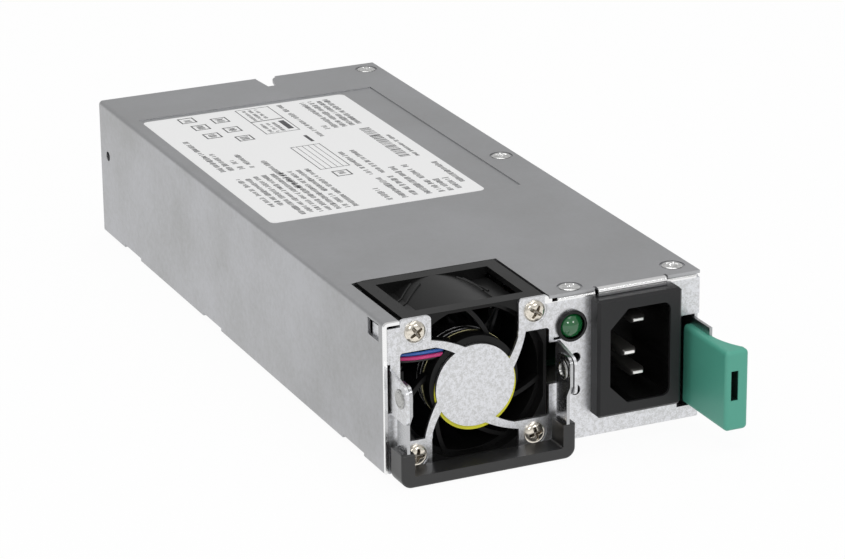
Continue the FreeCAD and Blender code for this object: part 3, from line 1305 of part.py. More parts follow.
def output_board():
    """Raised board whose tongue passes through the rear wall and carries gold fingers."""
    body = new_body("output_board_body")
    plan = sketch_on(body, "XY_Plane", "output_plan", offset="card_height")
    half = "card_width / 2"
    tip = rear("-card_reach")
    outline(plan, [
        (f"-{half} - 6", rear("card_start")), (f"{half} + 6", rear("card_start")),
        (f"{half} + 6", rear("metal + 2")), (half, rear("metal + 2")),
        (half, f"{tip} - 1"), (f"{half} - 1", tip),
        (f"-{half} + 1", tip), (f"-{half}", f"{tip} - 1"),
        (f"-{half}", rear("metal + 2")), (f"-{half} - 6", rear("metal + 2")),
    ])
    pad(body, "output_plate", plan, "board_thick")
    bevel_edges(body, "output_lead_in", "0.4",
                lambda e: along(e, "x") and near(e, y=value(tip)))
    finish("output_board", body)

    fingers = []
    count = int((value("card_width") - 4) // value("finger_pitch"))
    plating, key_at = 0.08, 8
    finger_start = value(f"{tip} - 1.2 - finger_long")
    for level in (value("card_height") - plating, value("card_height + board_thick")):
        for i in range(count):
            middle = (i - (count - 1) / 2) * value("finger_pitch")
            if abs(middle - key_at) < 1.5:
                continue
            corner = Vector(middle - value("finger_wide / 2"), finger_start, level)
            fingers.append(Part.makeBox(value("finger_wide"), value("finger_long"), plating, corner))
    group("contact_fingers", fingers)
    posts = []
    for x in (f"-{half} - 3", f"{half} + 3"):
        for y in (rear("card_start - 4"), rear("metal + 6")):
            posts.append(placed(six_sided(3.2, value(f"card_height - {BOARD_TOP}")), x, y, BOARD_TOP))
    group("board_spacers", posts)


def turned(corners, axis=Vector(0, 0, 1)):
    """A solid turned about an axis through the origin, from the corners of its half section."""
    return Part.Face(Part.makePolygon(corners + corners[:1])).revolve(Vector(), axis, 360)


def can(radius, tall):
    """An electrolytic capacitor: bevelled foot and shoulder, flat top."""
    bevel = 0.5
    profile = ((0, 0), (radius - bevel, 0), (radius, bevel),
               (radius, tall - bevel), (radius - bevel, tall), (0, tall))
    return turned([Vector(x, 0, z) for x, z in profile])


def wound_ring(radius, wide, tall):
    """A toroidal choke standing on edge, its section a bevelled rectangle, its axis along X."""
    bevel = min(wide, tall) / 4
    inner, outer, half = radius - wide / 2, radius + wide / 2, tall / 2
    profile = ((-half, inner + bevel), (-half, outer - bevel), (bevel - half, outer), (half - bevel, outer),
               (half, outer - bevel), (half, inner + bevel), (half - bevel, inner), (bevel - half, inner))
    return turned([Vector(x, 0, z) for x, z in profile], Vector(1, 0, 0))


def row_starts(lengths, gaps):
    """Front ends of pieces in a row from the board's front to the card.
    The length that they leave free is dealt out before, between and after them in the shares of gaps."""
    free = f"(case_length - board_start - card_start - {sum(lengths)})"
    starts = []
    for i in range(len(lengths)):
        share = sum(gaps[:i + 1]) / sum(gaps)
        starts.append(front(f"board_start + {sum(lengths[:i])} + {free} * {share}"))
    return starts


def transformer(x, y):
    """A ferrite core with a middle leg, the winding round that leg, and a foot under the core."""
    inside_y = (f"{y[0]} + 5", f"{y[1]} - 5")
    inside_z = (f"{BOARD_TOP} + 6.5", f"{BOARD_TOP} + 21.5")
    block = brick("core_block", x, y, (f"{BOARD_TOP} + 2", f"{BOARD_TOP} + 26"))
    window = brick("core_window", (f"{x[0]} - 1", f"{x[1]} + 1"), inside_y, inside_z)
    leg = brick("core_leg", (f"{x[0]} + 9", f"{x[1]} - 9"), inside_y, inside_z)
    core = finish("transformer_core", joined("core_all", [less("core_open", block, [window]), leg]))
    coil = brick("coil_block", (f"{x[0]} - 2", f"{x[1]} + 2"), inside_y, inside_z)
    finish("transformer_winding", less("transformer_winding_all", coil, [core]))
    finish("transformer_foot", brick("coil_foot", (f"{x[0]} + 2", f"{x[1]} - 2"),
                                     (f"{y[0]} + 2", f"{y[1]} - 2"), (BOARD_TOP, f"{BOARD_TOP} + 2")))


def heat_sink(name, x, y, fins):
    """An extrusion on edge: an upright web with flat fins on one side."""
    tall, web, reach, fin, pitch = 28, 2.5, 10, 1.2, 4.4
    pieces = [brick(f"{name}_web", (x, f"{x} + {web}"), y, (BOARD_TOP, f"{BOARD_TOP} + {tall}"))]
    for i in range(fins):
        level = f"({BOARD_TOP} + {tall} - {i} * {pitch})"
        pieces.append(brick(f"{name}_fin_{i}", (f"{x} + {web}", f"{x} + {reach}"), y,
                            (f"{level} - {fin}", level)))
    return finish(name, joined(name + "_all", pieces))


def components():
    """The larger parts on the main board, in the order the air reaches them."""
    filter_long, boost_long, core_long = 25.0, 26.0, 28.0
    filter_y, boost_y, core_y = row_starts((filter_long, boost_long, core_long), (9, 21, 22, 36))
    choke = placed(wound_ring(8.5, 8.0, 8.0), right("22"), f"{filter_y} + {filter_long / 2}",
                   f"{BOARD_TOP} + {filter_long / 2}")
    finish("filter_choke", shaped("filter_choke_all", choke))
    choke = placed(wound_ring(8.0, 10.0, 10.0), right("18"), f"{boost_y} + {boost_long / 2}",
                   f"{BOARD_TOP} + {boost_long / 2}")
    finish("boost_choke", shaped("boost_choke_all", choke))
    transformer((right("34"), right("6")), (core_y, f"{core_y} + {core_long}"))
    heat_sink("input_heat_sink", right("36"), (front("board_start + 11"), core_y), 5)

    rear_group = "card_start + 26"
    bulk_radius, bulk_long = 14.0, 44.0
    bulk = placed(can(bulk_radius, bulk_long), left("24"), rear(f"{rear_group} + 6"),
                  f"{BOARD_TOP} + {bulk_radius}", FACING_FRONT)
    finish("bulk_capacitor", shaped("bulk_capacitor_all", bulk))
    heat_sink("output_heat_sink", left("8"), (rear(rear_group), rear("card_start")), 4)
    can_radius, can_pitch = 4.0, 10.0
    rows = [rear(f"{rear_group} - {can_radius} - {row} * {can_pitch}") for row in range(2)]
    group("output_capacitors", [placed(can(can_radius, 18.0), x, y, BOARD_TOP)
                                for y in rows for x in (left("27"), left("37"))])


def rating_label():
    plate = brick("label_plate", (left("label_left"), left("label_left + label_wide")),
                  (front("label_front"), front("label_front + label_long")),
                  (f"{TOP} - recess_deep", f"{TOP} - recess_deep + label_thick"))
    return finish("rating_label", softened("label_round", plate, "1.8", lambda e: along(e, "z")))


# ------------------------------------------------------------------ build
base_pan()
rear_wall()
top_cover()
front_panel()
screws()
fan_frame()
fan_rotor()
fan_label()
fan_leads()
fan_plug()
inlet_housing()
inlet_blades()
status_lamp()
handle_rivets()
handle_grip(handle_frame())
latch_cap(latch_lever())
latch_tooth()
latch_spring()
main_board()
output_board()
components()
rating_label()
doc.recompute()

for item in doc.Objects:
    if {"Invalid", "Error"} & set(item.State):
        raise RuntimeError(f"{item.Label} did not build: {item.State}")
for item in finished:
    shape = item.Shape
    if shape.isNull() or not shape.isValid():
        raise RuntimeError(f"{item.Label} has no valid shape")

os.makedirs("parts", exist_ok=True)
for item in finished:
    solids = item.Shape.Solids
    if not solids:
        raise RuntimeError(f"{item.Label} has no solid")
    item.Shape.exportStep(f"parts/{item.Label}.step")
    box = item.Shape.BoundBox
    print(f"{item.Label:22s} solids {len(solids)} volume {item.Shape.Volume:10.1f}",
          f"x {box.XMin:7.2f} {box.XMax:7.2f} y {box.YMin:8.2f} {box.YMax:8.2f}",
          f"z {box.ZMin:6.2f} {box.ZMax:6.2f}")
print(len(finished), "nodes")
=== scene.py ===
"""A hot swap server power supply: a slim steel case with a fan, an inlet, a lamp, a handle and a latch."""

import bmesh
import bpy
import numpy as np
from mathutils import Matrix, Vector


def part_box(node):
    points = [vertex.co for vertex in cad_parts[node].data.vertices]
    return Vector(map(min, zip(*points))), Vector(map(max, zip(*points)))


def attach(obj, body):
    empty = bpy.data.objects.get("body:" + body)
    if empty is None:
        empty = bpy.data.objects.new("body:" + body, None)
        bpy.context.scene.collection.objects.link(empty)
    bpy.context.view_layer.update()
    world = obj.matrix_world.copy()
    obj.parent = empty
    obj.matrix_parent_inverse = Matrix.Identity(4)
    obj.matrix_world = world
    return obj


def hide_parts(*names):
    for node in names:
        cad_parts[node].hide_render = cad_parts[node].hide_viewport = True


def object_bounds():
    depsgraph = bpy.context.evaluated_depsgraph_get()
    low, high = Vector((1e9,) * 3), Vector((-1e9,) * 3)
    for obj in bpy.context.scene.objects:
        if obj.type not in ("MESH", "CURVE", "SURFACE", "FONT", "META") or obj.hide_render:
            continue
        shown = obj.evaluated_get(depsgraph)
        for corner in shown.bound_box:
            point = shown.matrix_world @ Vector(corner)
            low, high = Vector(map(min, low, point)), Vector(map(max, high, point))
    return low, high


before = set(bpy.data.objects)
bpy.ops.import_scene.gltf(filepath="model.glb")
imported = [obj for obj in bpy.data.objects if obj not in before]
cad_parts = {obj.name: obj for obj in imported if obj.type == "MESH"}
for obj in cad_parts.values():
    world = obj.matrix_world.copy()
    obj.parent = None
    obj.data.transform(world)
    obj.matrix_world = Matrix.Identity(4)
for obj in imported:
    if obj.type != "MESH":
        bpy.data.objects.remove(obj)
cad_box = [list(corner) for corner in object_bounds()]

# ---------------------------------------------------------------- camera
# A long lens, a little above the case and to the left of its fan end, with a slight tilt of the head.
# Its three directions are worked out from the angles, in the frame's own X, Y and Z.
view_azimuth, view_elevation, view_roll = np.radians((-24.53, 20.23, -0.59))
view_target = Vector((0.0084, -0.0100, 0.0123))
view_distance = 0.9397
view_back = Vector((np.sin(view_azimuth) * np.cos(view_elevation),
                    -np.cos(view_azimuth) * np.cos(view_elevation),
                    np.sin(view_elevation)))
level_right = Vector((np.cos(view_azimuth), np.sin(view_azimuth), 0.0))
level_up = view_back.cross(level_right)
view_right = level_right * np.cos(view_roll) + level_up * np.sin(view_roll)
view_up = view_back.cross(view_right)
camera_data = bpy.data.cameras.new("camera")
camera_data.lens = 148.93
camera_data.sensor_width = 36.0
camera_data.clip_start = 0.05
camera = bpy.data.objects.new("camera", camera_data)
bpy.context.scene.collection.objects.link(camera)
pose = Matrix((view_right, view_up, view_back)).transposed().to_4x4()
pose.translation = view_target + view_back * view_distance
camera.matrix_world = pose
bpy.context.scene.camera = camera

# ---------------------------------------------------------------- studio
# A wide white sheet under the case and an even grey room round it, which both show white to the camera. One large
# soft lamp hangs overhead, and two small ones stand in front, to the left and the right.
bpy.context.scene.view_settings.view_transform = "Standard"
ROOM_LEVEL = 0.57
SHEET_SHOWN = 0.95
SHEET_REACH = 6.0
SHEET_GAP = 0.0001


class Amount:
    """What a node gives. Arithmetic on it adds Math nodes to its tree."""

    def __init__(self, nodes, socket):
        self.nodes = nodes
        self.socket = socket

    def __add__(self, other):
        return self.nodes.math("ADD", self, other)

    __radd__ = __add__

    def __sub__(self, other):
        return self.nodes.math("SUBTRACT", self, other)

    def __rsub__(self, other):
        return self.nodes.math("SUBTRACT", other, self)

    def __mul__(self, other):
        return self.nodes.math("MULTIPLY", self, other)

    __rmul__ = __mul__

    def between(self, low, high):
        """0 below low and 1 above high, with an even slope from one to the other."""
        return self.nodes.node("ShaderNodeMapRange", {}, {"Value": self, "From Min": low, "From Max": high})


class Nodes:
    """The node tree of a material or of the room."""

    def __init__(self, owner):
        owner.use_nodes = True
        self.tree = owner.node_tree

    def feed(self, socket, given):
        """Gives a socket a link, a colour or a plain number."""
        if isinstance(given, Amount):
            self.tree.links.new(given.socket, socket)
        elif isinstance(given, tuple) and len(given) == 3 and socket.type == "RGBA":
            socket.default_value = (*given, 1.0)
        else:
            socket.default_value = given

    def node(self, kind, settings=None, inputs=None, output=0):
        """Adds a node: its settings first, then the values or links of its sockets."""
        made = self.tree.nodes.new(kind)
        for name, setting in (settings or {}).items():
            setattr(made, name, setting)
        for name, given in (inputs or {}).items():
            self.feed(made.inputs[name], given)
        return Amount(self, made.outputs[output])

    def math(self, operation, first, second):
        return self.node("ShaderNodeMath", {"operation": operation}, {0: first, 1: second})

    def seen(self, *rays):
        """1 for any of the named kinds of ray, and 0 for the rest."""
        found = self.node("ShaderNodeLightPath", output=rays[0])
        for ray in rays[1:]:
            found = self.math("MAXIMUM", found, self.node("ShaderNodeLightPath", output=ray))
        return found


room_world = bpy.data.worlds.new("room")
bpy.context.scene.world = room_world
room = Nodes(room_world)
room_light = room_world.node_tree.nodes["Background"]
room.feed(room_light.inputs["Color"], (1.0, 1.0, 1.0))
room.feed(room_light.inputs["Strength"], room.node("ShaderNodeMapRange", {}, {
    "Value": room.seen("Is Camera Ray"), "To Min": ROOM_LEVEL, "To Max": 1.0}))

paper_material = bpy.data.materials.new("studio_paper")
paper = Nodes(paper_material)
paper.tree.nodes.remove(paper.tree.nodes["Principled BSDF"])
paper_seen = paper.seen("Is Camera Ray", "Is Glossy Ray", "Is Transmission Ray") * SHEET_SHOWN
paper_matt = paper.node("ShaderNodeBsdfDiffuse", {}, {"Color": (0.9, 0.9, 0.9)})
paper_glow = paper.node("ShaderNodeEmission", {}, {"Color": (1.0, 1.0, 1.0)})
paper.feed(paper.tree.nodes["Material Output"].inputs["Surface"],
           paper.node("ShaderNodeMixShader", {}, {0: paper_seen, 1: paper_matt, 2: paper_glow}))

sheet_mesh = bpy.data.meshes.new("studio_sheet")
sheet_mesh.from_pydata([(x * SHEET_REACH, y * SHEET_REACH, cad_box[0][2] - SHEET_GAP) for x, y in
                        ((-1, -1), (1, -1), (1, 1), (-1, 1))], [], [(0, 1, 2, 3)])
sheet_mesh.materials.append(paper_material)
studio_sheet = bpy.data.objects.new("studio_sheet", sheet_mesh)
bpy.context.scene.collection.objects.link(studio_sheet)

for lamp_name, lamp_place, lamp_size, lamp_power in (
        ("left_lamp", (-0.60, -1.08, 0.62), 0.26, 1.8),
        ("right_lamp", (0.38, -1.20, 0.60), 0.26, 1.5),
        ("top_lamp", (-0.10, -0.10, 1.40), 1.30, 7.6)):
    lamp_data = bpy.data.lights.new(lamp_name, "AREA")
    lamp_data.size = lamp_size
    lamp_data.energy = lamp_power
    lamp = bpy.data.objects.new(lamp_name, lamp_data)
    bpy.context.scene.collection.objects.link(lamp)
    lamp.location = lamp_place
    lamp.rotation_euler = (Vector((0, 0, 0.02)) - Vector(lamp_place)).to_track_quat("-Z", "Y").to_euler()


# ---------------------------------------------------------------- case: folded sheet
# The top cover with the left wall, the pan with the right wall, and the rear wall are zinc plated sheet,
# sheared, punched and folded. Plating leaves a faint mottle, and rolling leaves fine specks.
class Finish(Nodes):
    """A material whose surface is one Principled shader, with its patterns on Object coordinates."""

    def __init__(self, name, **look):
        self.material = bpy.data.materials.new(name)
        super().__init__(self.material)
        self.shader = self.tree.nodes["Principled BSDF"]
        self.place = self.node("ShaderNodeTexCoord", output="Object")
        self.set(**look)

    def noise(self, size, detail=2.0, roughness=0.5):
        """A soft random pattern from 0 to 1, whose patches are about size metres across."""
        return self.node("ShaderNodeTexNoise", {}, {"Vector": self.place, "Scale": 1.0 / size, "Detail": detail,
                                                    "Roughness": roughness})

    def tint(self, share, first, second):
        """A colour between two colours."""
        return self.node("ShaderNodeMix", {"data_type": "RGBA"}, {0: share, 6: first, 7: second}, output=2)

    def inside(self, low, high):
        """1 inside a box given by two corners in metres, 0 outside."""
        split = self.node("ShaderNodeSeparateXYZ", {}, {0: self.place}).socket.node
        share = 1.0
        for output, start, end in zip(split.outputs, low, high):
            along = Amount(self, output)
            share = self.math("GREATER_THAN", along, start) * self.math("LESS_THAN", along, end) * share
        return share

    def set(self, **look):
        """Sets the shader's sockets by their names, with _ for a space."""
        for name, given in look.items():
            self.feed(self.shader.inputs[name.replace("_", " ")], given)

    def bump(self, height, depth):
        """Raises the surface by up to depth metres where height is 1."""
        self.set(Normal=self.node("ShaderNodeBump", {}, {"Height": height, "Distance": depth, "Strength": 1.0}))


def dress(finish, *names):
    """Gives CAD nodes a finish through their own material slots."""
    for name in names:
        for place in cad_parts[name].material_slots:
            place.material = finish.material


def plated_sheet(name, level, mottle, roughness=0.42, grain=0.0016, highlight_boxes=(), cloudy=None):
    """Zinc plated sheet: clouds 25 mm across, a mottle one grain across, specks a quarter of that, and a painted
    highlight, light grey and less rough, along the bend of each fold. Each highlight is given as the box it lies
    in, and so is the wall that is cloudier."""
    finish = Finish(name, Metallic=1.0)
    clouds = finish.noise(0.025, 3.0) - 0.5
    patches = finish.noise(grain, 3.0, 0.6)
    specks = finish.noise(grain / 4, 2.0)
    mottling = patches - 0.5
    share = clouds * 0.8 + mottling * mottle + (specks - 0.5) * (0.5 * mottle) + 0.5
    if cloudy:
        share = finish.inside(*cloudy) * (clouds * 1.6 + mottling * 0.9 + 0.05) + share
    darker = tuple(level * part for part in (0.85, 0.855, 0.86))
    lighter = tuple(min(1.0, level * part) for part in (1.11, 1.12, 1.16))
    colour = finish.tint(share.between(0.0, 1.0), darker, lighter)
    shine = mottling * 0.12 + clouds * 0.10 + roughness
    # Along each fold the colour is painted light grey as a painted highlight, and the roughness drops.
    painted_highlight = sum(finish.inside(low, high) for low, high in highlight_boxes)
    if highlight_boxes:
        colour = finish.tint(painted_highlight, colour, (0.93, 0.93, 0.93))
        shine = shine - painted_highlight * 0.20
    finish.set(Base_Color=colour, Roughness=shine)
    finish.bump(specks * 0.5 + patches, 0.00001)
    return finish


# The cover carries a painted highlight along its lip over the inlet and down the front edge of its left wall. Each
# box goes PAST the sheet where it need not stop at it.
PAST = 0.001
cover_low, cover_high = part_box("top_cover")
inlet_middle = sum(corner.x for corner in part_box("inlet_housing")) / 2
lip_highlight = ((inlet_middle - 0.0102, cover_low.y - PAST, cover_high.z - 0.0016),
            (inlet_middle + 0.0090, cover_low.y + 0.0012, cover_high.z + PAST))
wall_edge_highlight = ((cover_low.x - PAST, cover_low.y - PAST, cover_low.z),
             (cover_low.x + 0.0045, cover_low.y + 0.00173, cover_high.z + PAST))
left_wall = ((cover_low.x - PAST, cover_low.y - PAST, cover_low.z - PAST),
             (cover_low.x + 0.0006, cover_high.y + PAST, cover_high.z - 0.0008))
dress(plated_sheet("cover_sheet", level=0.46, mottle=0.5, highlight_boxes=[lip_highlight, wall_edge_highlight], cloudy=left_wall),
      "top_cover")
dress(plated_sheet("pan_sheet", level=0.62, mottle=1.2), "base_pan", "rear_wall")


# ---------------------------------------------------------------- front panel
# Brighter galvanised sheet, punched through for the fan, the lamp and the inlet, with folded flanges and lugs.
# Where the fold of its top flange shows under the cover's edge, it carries a painted highlight.
flange_highlight = ((0.0, cover_low.y - PAST, cover_high.z - 0.0019),
               (cover_high.x + PAST, cover_low.y + 0.0018, cover_high.z))
dress(plated_sheet("panel_sheet", level=0.73, mottle=4.2, roughness=0.38, grain=0.0011, highlight_boxes=[flange_highlight]),
      "front_panel")


# ---------------------------------------------------------------- screws
# Cross recessed pan heads: bright zinc ones that sink into the cover's dimples, warm nickel ones in the fan's
# corners. Each is cold headed: a low crown, a rounded rim, and a tapered cross pressed into it. The crosses are
# painted: white on the zinc heads as a painted highlight, and dark on the nickel heads as painted shade.
def plated(name, colour, roughness, grime=0.75, painted_recess=None):
    """Bright plating with faint turning marks and a little grime. Where the piece's attribute "painted_recess" is
    1, three quarters of its colour comes from the colour painted_recess: a painted highlight or painted shade in
    the recess."""
    finish = Finish(name, Metallic=1.0)
    marks = finish.noise(0.0006, 3.0)
    tone = finish.tint(marks.between(0.3, 0.6), tuple(part * grime for part in colour), colour)
    if painted_recess:
        recess = finish.node("ShaderNodeAttribute", {"attribute_name": "painted_recess"}, output=2)
        tone = finish.tint(recess * 0.75, tone, painted_recess)
    finish.set(Base_Color=tone, Roughness=(marks - 0.5) * 0.2 + roughness)
    return finish


def seats(node, reach):
    """The lowest and highest corners of each separate solid of a node; solids are further apart than reach."""
    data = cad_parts[node].data
    points = np.empty(len(data.vertices) * 3)
    data.vertices.foreach_get("co", points)
    points = points.reshape(-1, 3)
    boxes = []
    while len(points):
        near = np.linalg.norm(points - points[0], axis=1) < reach
        boxes.append((points[near].min(axis=0), points[near].max(axis=0)))
        points = points[~near]
    return boxes


def built(name, grids, finish, slot, *nodes, body="case", looped=False):
    """One object from closed skins: grids[copy, along, round] are points in metres. Each ring is joined to the
    next by quads. The first and last rings are closed flat, or joined to each other when the skin is looped.
    Only edges over 35 degrees stay sharp. A fourth number at each point is kept as the attribute "painted_recess",
    which marks where the recess colour is painted."""
    copies, along, around, numbers = grids.shape
    index = np.arange(copies * along * around).reshape(copies, along, around)
    here, there = (index, np.roll(index, -1, axis=1)) if looped else (index[:, :-1], index[:, 1:])
    quads = np.stack((here, np.roll(here, -1, axis=2), np.roll(there, -1, axis=2), there), axis=-1)
    ends = [] if looped else index[:, 0].tolist() + index[:, -1].tolist()
    mesh = bpy.data.meshes.new(name)
    mesh.from_pydata(grids[..., :3].reshape(-1, 3).tolist(), [], quads.reshape(-1, 4).tolist() + ends)
    shell = bmesh.new()
    shell.from_mesh(mesh)
    bmesh.ops.recalc_face_normals(shell, faces=shell.faces)
    shell.to_mesh(mesh)
    shell.free()
    mesh.polygons.foreach_set("use_smooth", np.ones(len(mesh.polygons), dtype=bool))
    mesh.set_sharp_from_angle(angle=np.radians(35))
    if numbers == 4:
        mesh.attributes.new("painted_recess", "FLOAT", "POINT").data.foreach_set("value", grids[..., 3].ravel())
    mesh.materials.append(finish.material)
    piece = bpy.data.objects.new(name, mesh)
    bpy.context.scene.collection.objects.link(piece)
    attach(piece, body)
    if nodes:
        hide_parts(*nodes)


def cross_head(radius, tall, shank, long, spin, deep, lean):
    """A screw that points down from the origin, as rings of points whose fourth number is the cross. With r
    from 0 to 1, the crown is at z = tall (1 - 0.3 r^2 - 0.4 r^6), less the cross: two tapered arms, whose walls
    fall by a smooth step of the width lean, and whose floor, deep in the middle, rises outwards. The rim, the
    flat underside and the plain shank follow."""
    share, angle = np.meshgrid(np.linspace(0.01, 1.0, 46), np.linspace(0, 2 * np.pi, 120, endpoint=False),
                               indexing="ij")
    crown = tall * (1 - 0.3 * share ** 2 - 0.4 * share ** 6)
    arm, wide = 0.62 * radius, 0.16 * radius
    u = share * radius * np.cos(angle - spin)
    v = share * radius * np.sin(angle - spin)

    def within(past):
        step = np.clip(0.5 - past / lean, 0, 1)
        return step * step * (3 - 2 * step)

    def cut(run, side):
        return within(np.abs(side) - wide * (1 - 0.35 * np.abs(run) / arm)) * within(np.abs(run) - arm)

    cross = np.maximum(np.maximum(cut(u, v), cut(v, u)), within(np.abs(u) + np.abs(v) - 1.9 * wide))
    crown = crown - cross * deep * (1 - 0.55 * np.clip(share * radius / arm, 0, 1))
    rings = [np.stack((share * radius * np.cos(angle), share * radius * np.sin(angle), crown, cross), axis=-1)]
    for size, height in ((radius, 0.0), (shank, 0.0), (shank, -long)):
        rings.append(np.stack((size * np.cos(angle[:1]), size * np.sin(angle[:1]),
                               np.full_like(angle[:1], height), 0 * angle[:1]), axis=-1))
    return np.concatenate(rings)


# The crowns stay a hair inside the CAD heads, so that nothing stands past them.
HAIR = 0.00001
COVER_CROWN, FAN_CROWN = 0.00060, 0.00128
# The zinc heads' crosses are painted white: a painted highlight.
zinc = plated("bright_zinc", (0.84, 0.84, 0.83), roughness=0.12, grime=0.6, painted_recess=(1.0, 1.0, 1.0))
cover_heads = []
for turn, (low, high) in enumerate(seats("cover_screws", 0.009)):
    head = cross_head(0.00262, COVER_CROWN, shank=0.00125, long=0.0016, spin=0.35 + 0.5 * turn, deep=0.00085,
                      lean=0.00048)
    middle = (low + high) / 2
    cover_heads.append(head + (middle[0], middle[1], high[2] - COVER_CROWN - HAIR, 0))
built("cover_pan_heads", np.array(cover_heads), zinc, "zinc_screw", "cover_screws")

# The nickel heads' crosses are painted dark brown: painted shade.
nickel = plated("warm_nickel", (0.86, 0.80, 0.70), roughness=0.20, grime=0.7, painted_recess=(0.10, 0.085, 0.07))
fan_heads = []
for turn, (low, high) in enumerate(seats("fan_screws", 0.012)):
    head = cross_head(0.00272, FAN_CROWN, shank=0.00165, long=0.0078, spin=0.6 + 0.4 * turn, deep=0.00130,
                      lean=0.00026)
    forwards = np.stack((head[..., 0], -head[..., 2], head[..., 1], head[..., 3]), axis=-1)
    middle = (low + high) / 2
    fan_heads.append(forwards + (middle[0], low[1] + FAN_CROWN + 2 * HAIR, middle[2], 0))
built("fan_pan_heads", np.array(fan_heads), nickel, "nickel_screw", "fan_screws")


# ---------------------------------------------------------------- handle pivots
# Two semi-tubular rivets of plated steel. Each has a flat head outside the lug, with a shallow ring coined round
# its middle, and a hollow tail rolled over inside the strap, so that the handle turns on the shank.
def turned(profile):
    """A profile of (distance along the axis, radius) in mm, carried round the X axis, as rings of points."""
    along, radius = np.array(profile).T[..., None] * 0.001
    angle = np.linspace(0, 2 * np.pi, 72, endpoint=False)
    return np.stack((along + 0 * angle, radius * np.cos(angle), radius * np.sin(angle)), axis=-1)


HEAD_THICK = 0.0005
rivet_head = ((-0.34, 0.01), (-0.36, 1.70), (-0.26, 1.80), (-0.38, 1.95), (-0.34, 2.30), (-0.18, 2.46), (0.0, 2.48))
rivet_shank = ((0.0, 1.45), (2.0, 1.45))
rolled_tail = ((2.0, 2.45), (2.12, 2.48), (2.32, 2.36), (2.44, 2.10), (2.48, 1.85), (2.40, 1.62), (2.15, 1.45),
               (1.60, 1.34), (0.50, 1.28), (0.40, 1.00), (0.40, 0.01))
rivet = turned(rivet_head + rivet_shank + rolled_tail)
pivots = []
for low, high in seats("handle_rivets", 0.012):
    outwards = -1 if low[0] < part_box("handle_frame")[0].x else 1
    outer = (low[0] if outwards < 0 else high[0]) - outwards * HEAD_THICK
    middle = (low + high) / 2
    pivots.append(rivet * (-outwards, 1, 1) + (outer, middle[1], middle[2]))
built("pivot_rivets", np.array(pivots), plated("rivet_steel", (0.46, 0.46, 0.45), 0.26), "zinc_screw",
      "handle_rivets")
dress(plated("hidden_zinc", (0.74, 0.74, 0.73), 0.28), "latch_rivets", "board_screws")


# ---------------------------------------------------------------- fan
# A 40 mm axial fan in black glass-filled plastic: a fixed frame with curved struts and a motor hub in front,
# and a five-bladed rotor behind. The motor carries a yellow film disc, and three thin leads go to the board.
def moulded(name, colour, roughness, grain=0.0006, depth=0.000006, gloss=0.5):
    """Moulded plastic: nearly one colour, with a fine even grain and a slightly uneven sheen."""
    finish = Finish(name, Specular_IOR_Level=gloss)
    sheen = finish.noise(0.006, 2.0)
    texture = finish.noise(grain, 2.0)
    darker = tuple(part * 0.85 for part in colour)
    finish.set(Base_Color=finish.tint(sheen.between(0.35, 0.65), darker, colour),
               Roughness=(sheen - 0.5) * 0.12 + roughness)
    finish.bump(texture, depth)
    return finish


dress(moulded("fan_black", (0.007, 0.007, 0.007), 0.36, gloss=0.20), "fan_frame")
dress(moulded("blade_black", (0.008, 0.008, 0.009), 0.24, gloss=0.6), "fan_rotor")
dress(moulded("film_yellow", (0.87, 0.83, 0.03), 0.35), "fan_label")
for lead, colour in (("fan_lead_blue", (0.06, 0.19, 0.62)), ("fan_lead_red", (0.66, 0.04, 0.22)),
                     ("fan_lead_black", (0.012, 0.012, 0.012))):
    dress(moulded(lead + "_cover", colour, 0.28), lead)
dress(moulded("plug_nylon", (0.72, 0.69, 0.60), 0.45), "fan_plug")


# The motor's cup and the rotor's show as thin bright rings turned round the hub.
def cup(name, colour):
    """Turned metal: one colour, with a slightly uneven sheen."""
    finish = Finish(name, Metallic=1.0)
    finish.set(Base_Color=colour, Roughness=(finish.noise(0.004, 2.0) - 0.5) * 0.15 + 0.24)
    return finish


fan_low, fan_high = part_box("fan_frame")
fan_x, fan_z = (fan_low.x + fan_high.x) / 2, (fan_low.z + fan_high.z) / 2


def ring(depth, radius, bead):
    """A torus round the fan's axis, as rings of points: a round bead, in mm, at a depth behind the fan's front."""
    turn, swing = np.meshgrid(np.linspace(0, 2 * np.pi, 10, endpoint=False),
                              np.linspace(0, 2 * np.pi, 160, endpoint=False), indexing="ij")
    reach = (radius + bead * np.cos(turn)) * 0.001
    return np.stack((fan_x + reach * np.cos(swing), fan_low.y + (depth + bead * np.sin(turn)) * 0.001,
                     fan_z + reach * np.sin(swing)), axis=-1)


built("motor_rings", np.array([ring(4.4, 11.95, 0.10)]), cup("cup_brass", (0.95, 0.88, 0.50)), "nickel_blade",
      looped=True)
built("rotor_rings", np.array([ring(6.4, 11.65, 0.07), ring(8.2, 11.65, 0.07)]),
      cup("cup_steel", (0.7, 0.7, 0.7)), "nickel_blade", body="fan_blades", looped=True)

# The fan's roof is a shallow pocket: moulded webs beside the crest of the duct, and low ribs across its flanks.
roof_black = moulded("roof_black", (0.009, 0.009, 0.009), 0.34, gloss=0.25)
duct_radius = (fan_high.x - fan_low.x) / 2
roof_floor = fan_high.z - 0.0030
RIB_RADIUS = 0.00035


def web(side):
    """A plain web beside the crest: its rectangle at the lower level, then at the upper one, as two rings."""
    near, far = fan_x + side * 0.0100, fan_x + side * 0.0154
    front, back = fan_low.y + 0.0030, fan_high.y - 0.0030
    outline = np.array([(near, front), (far, front), (far, back), (near, back)])
    levels = (roof_floor - 0.0006, roof_floor)
    return np.stack([np.column_stack((outline, np.full(4, height))) for height in levels])


built("roof_webs", np.array([web(-1), web(1)]), roof_black, "fan_plastic")


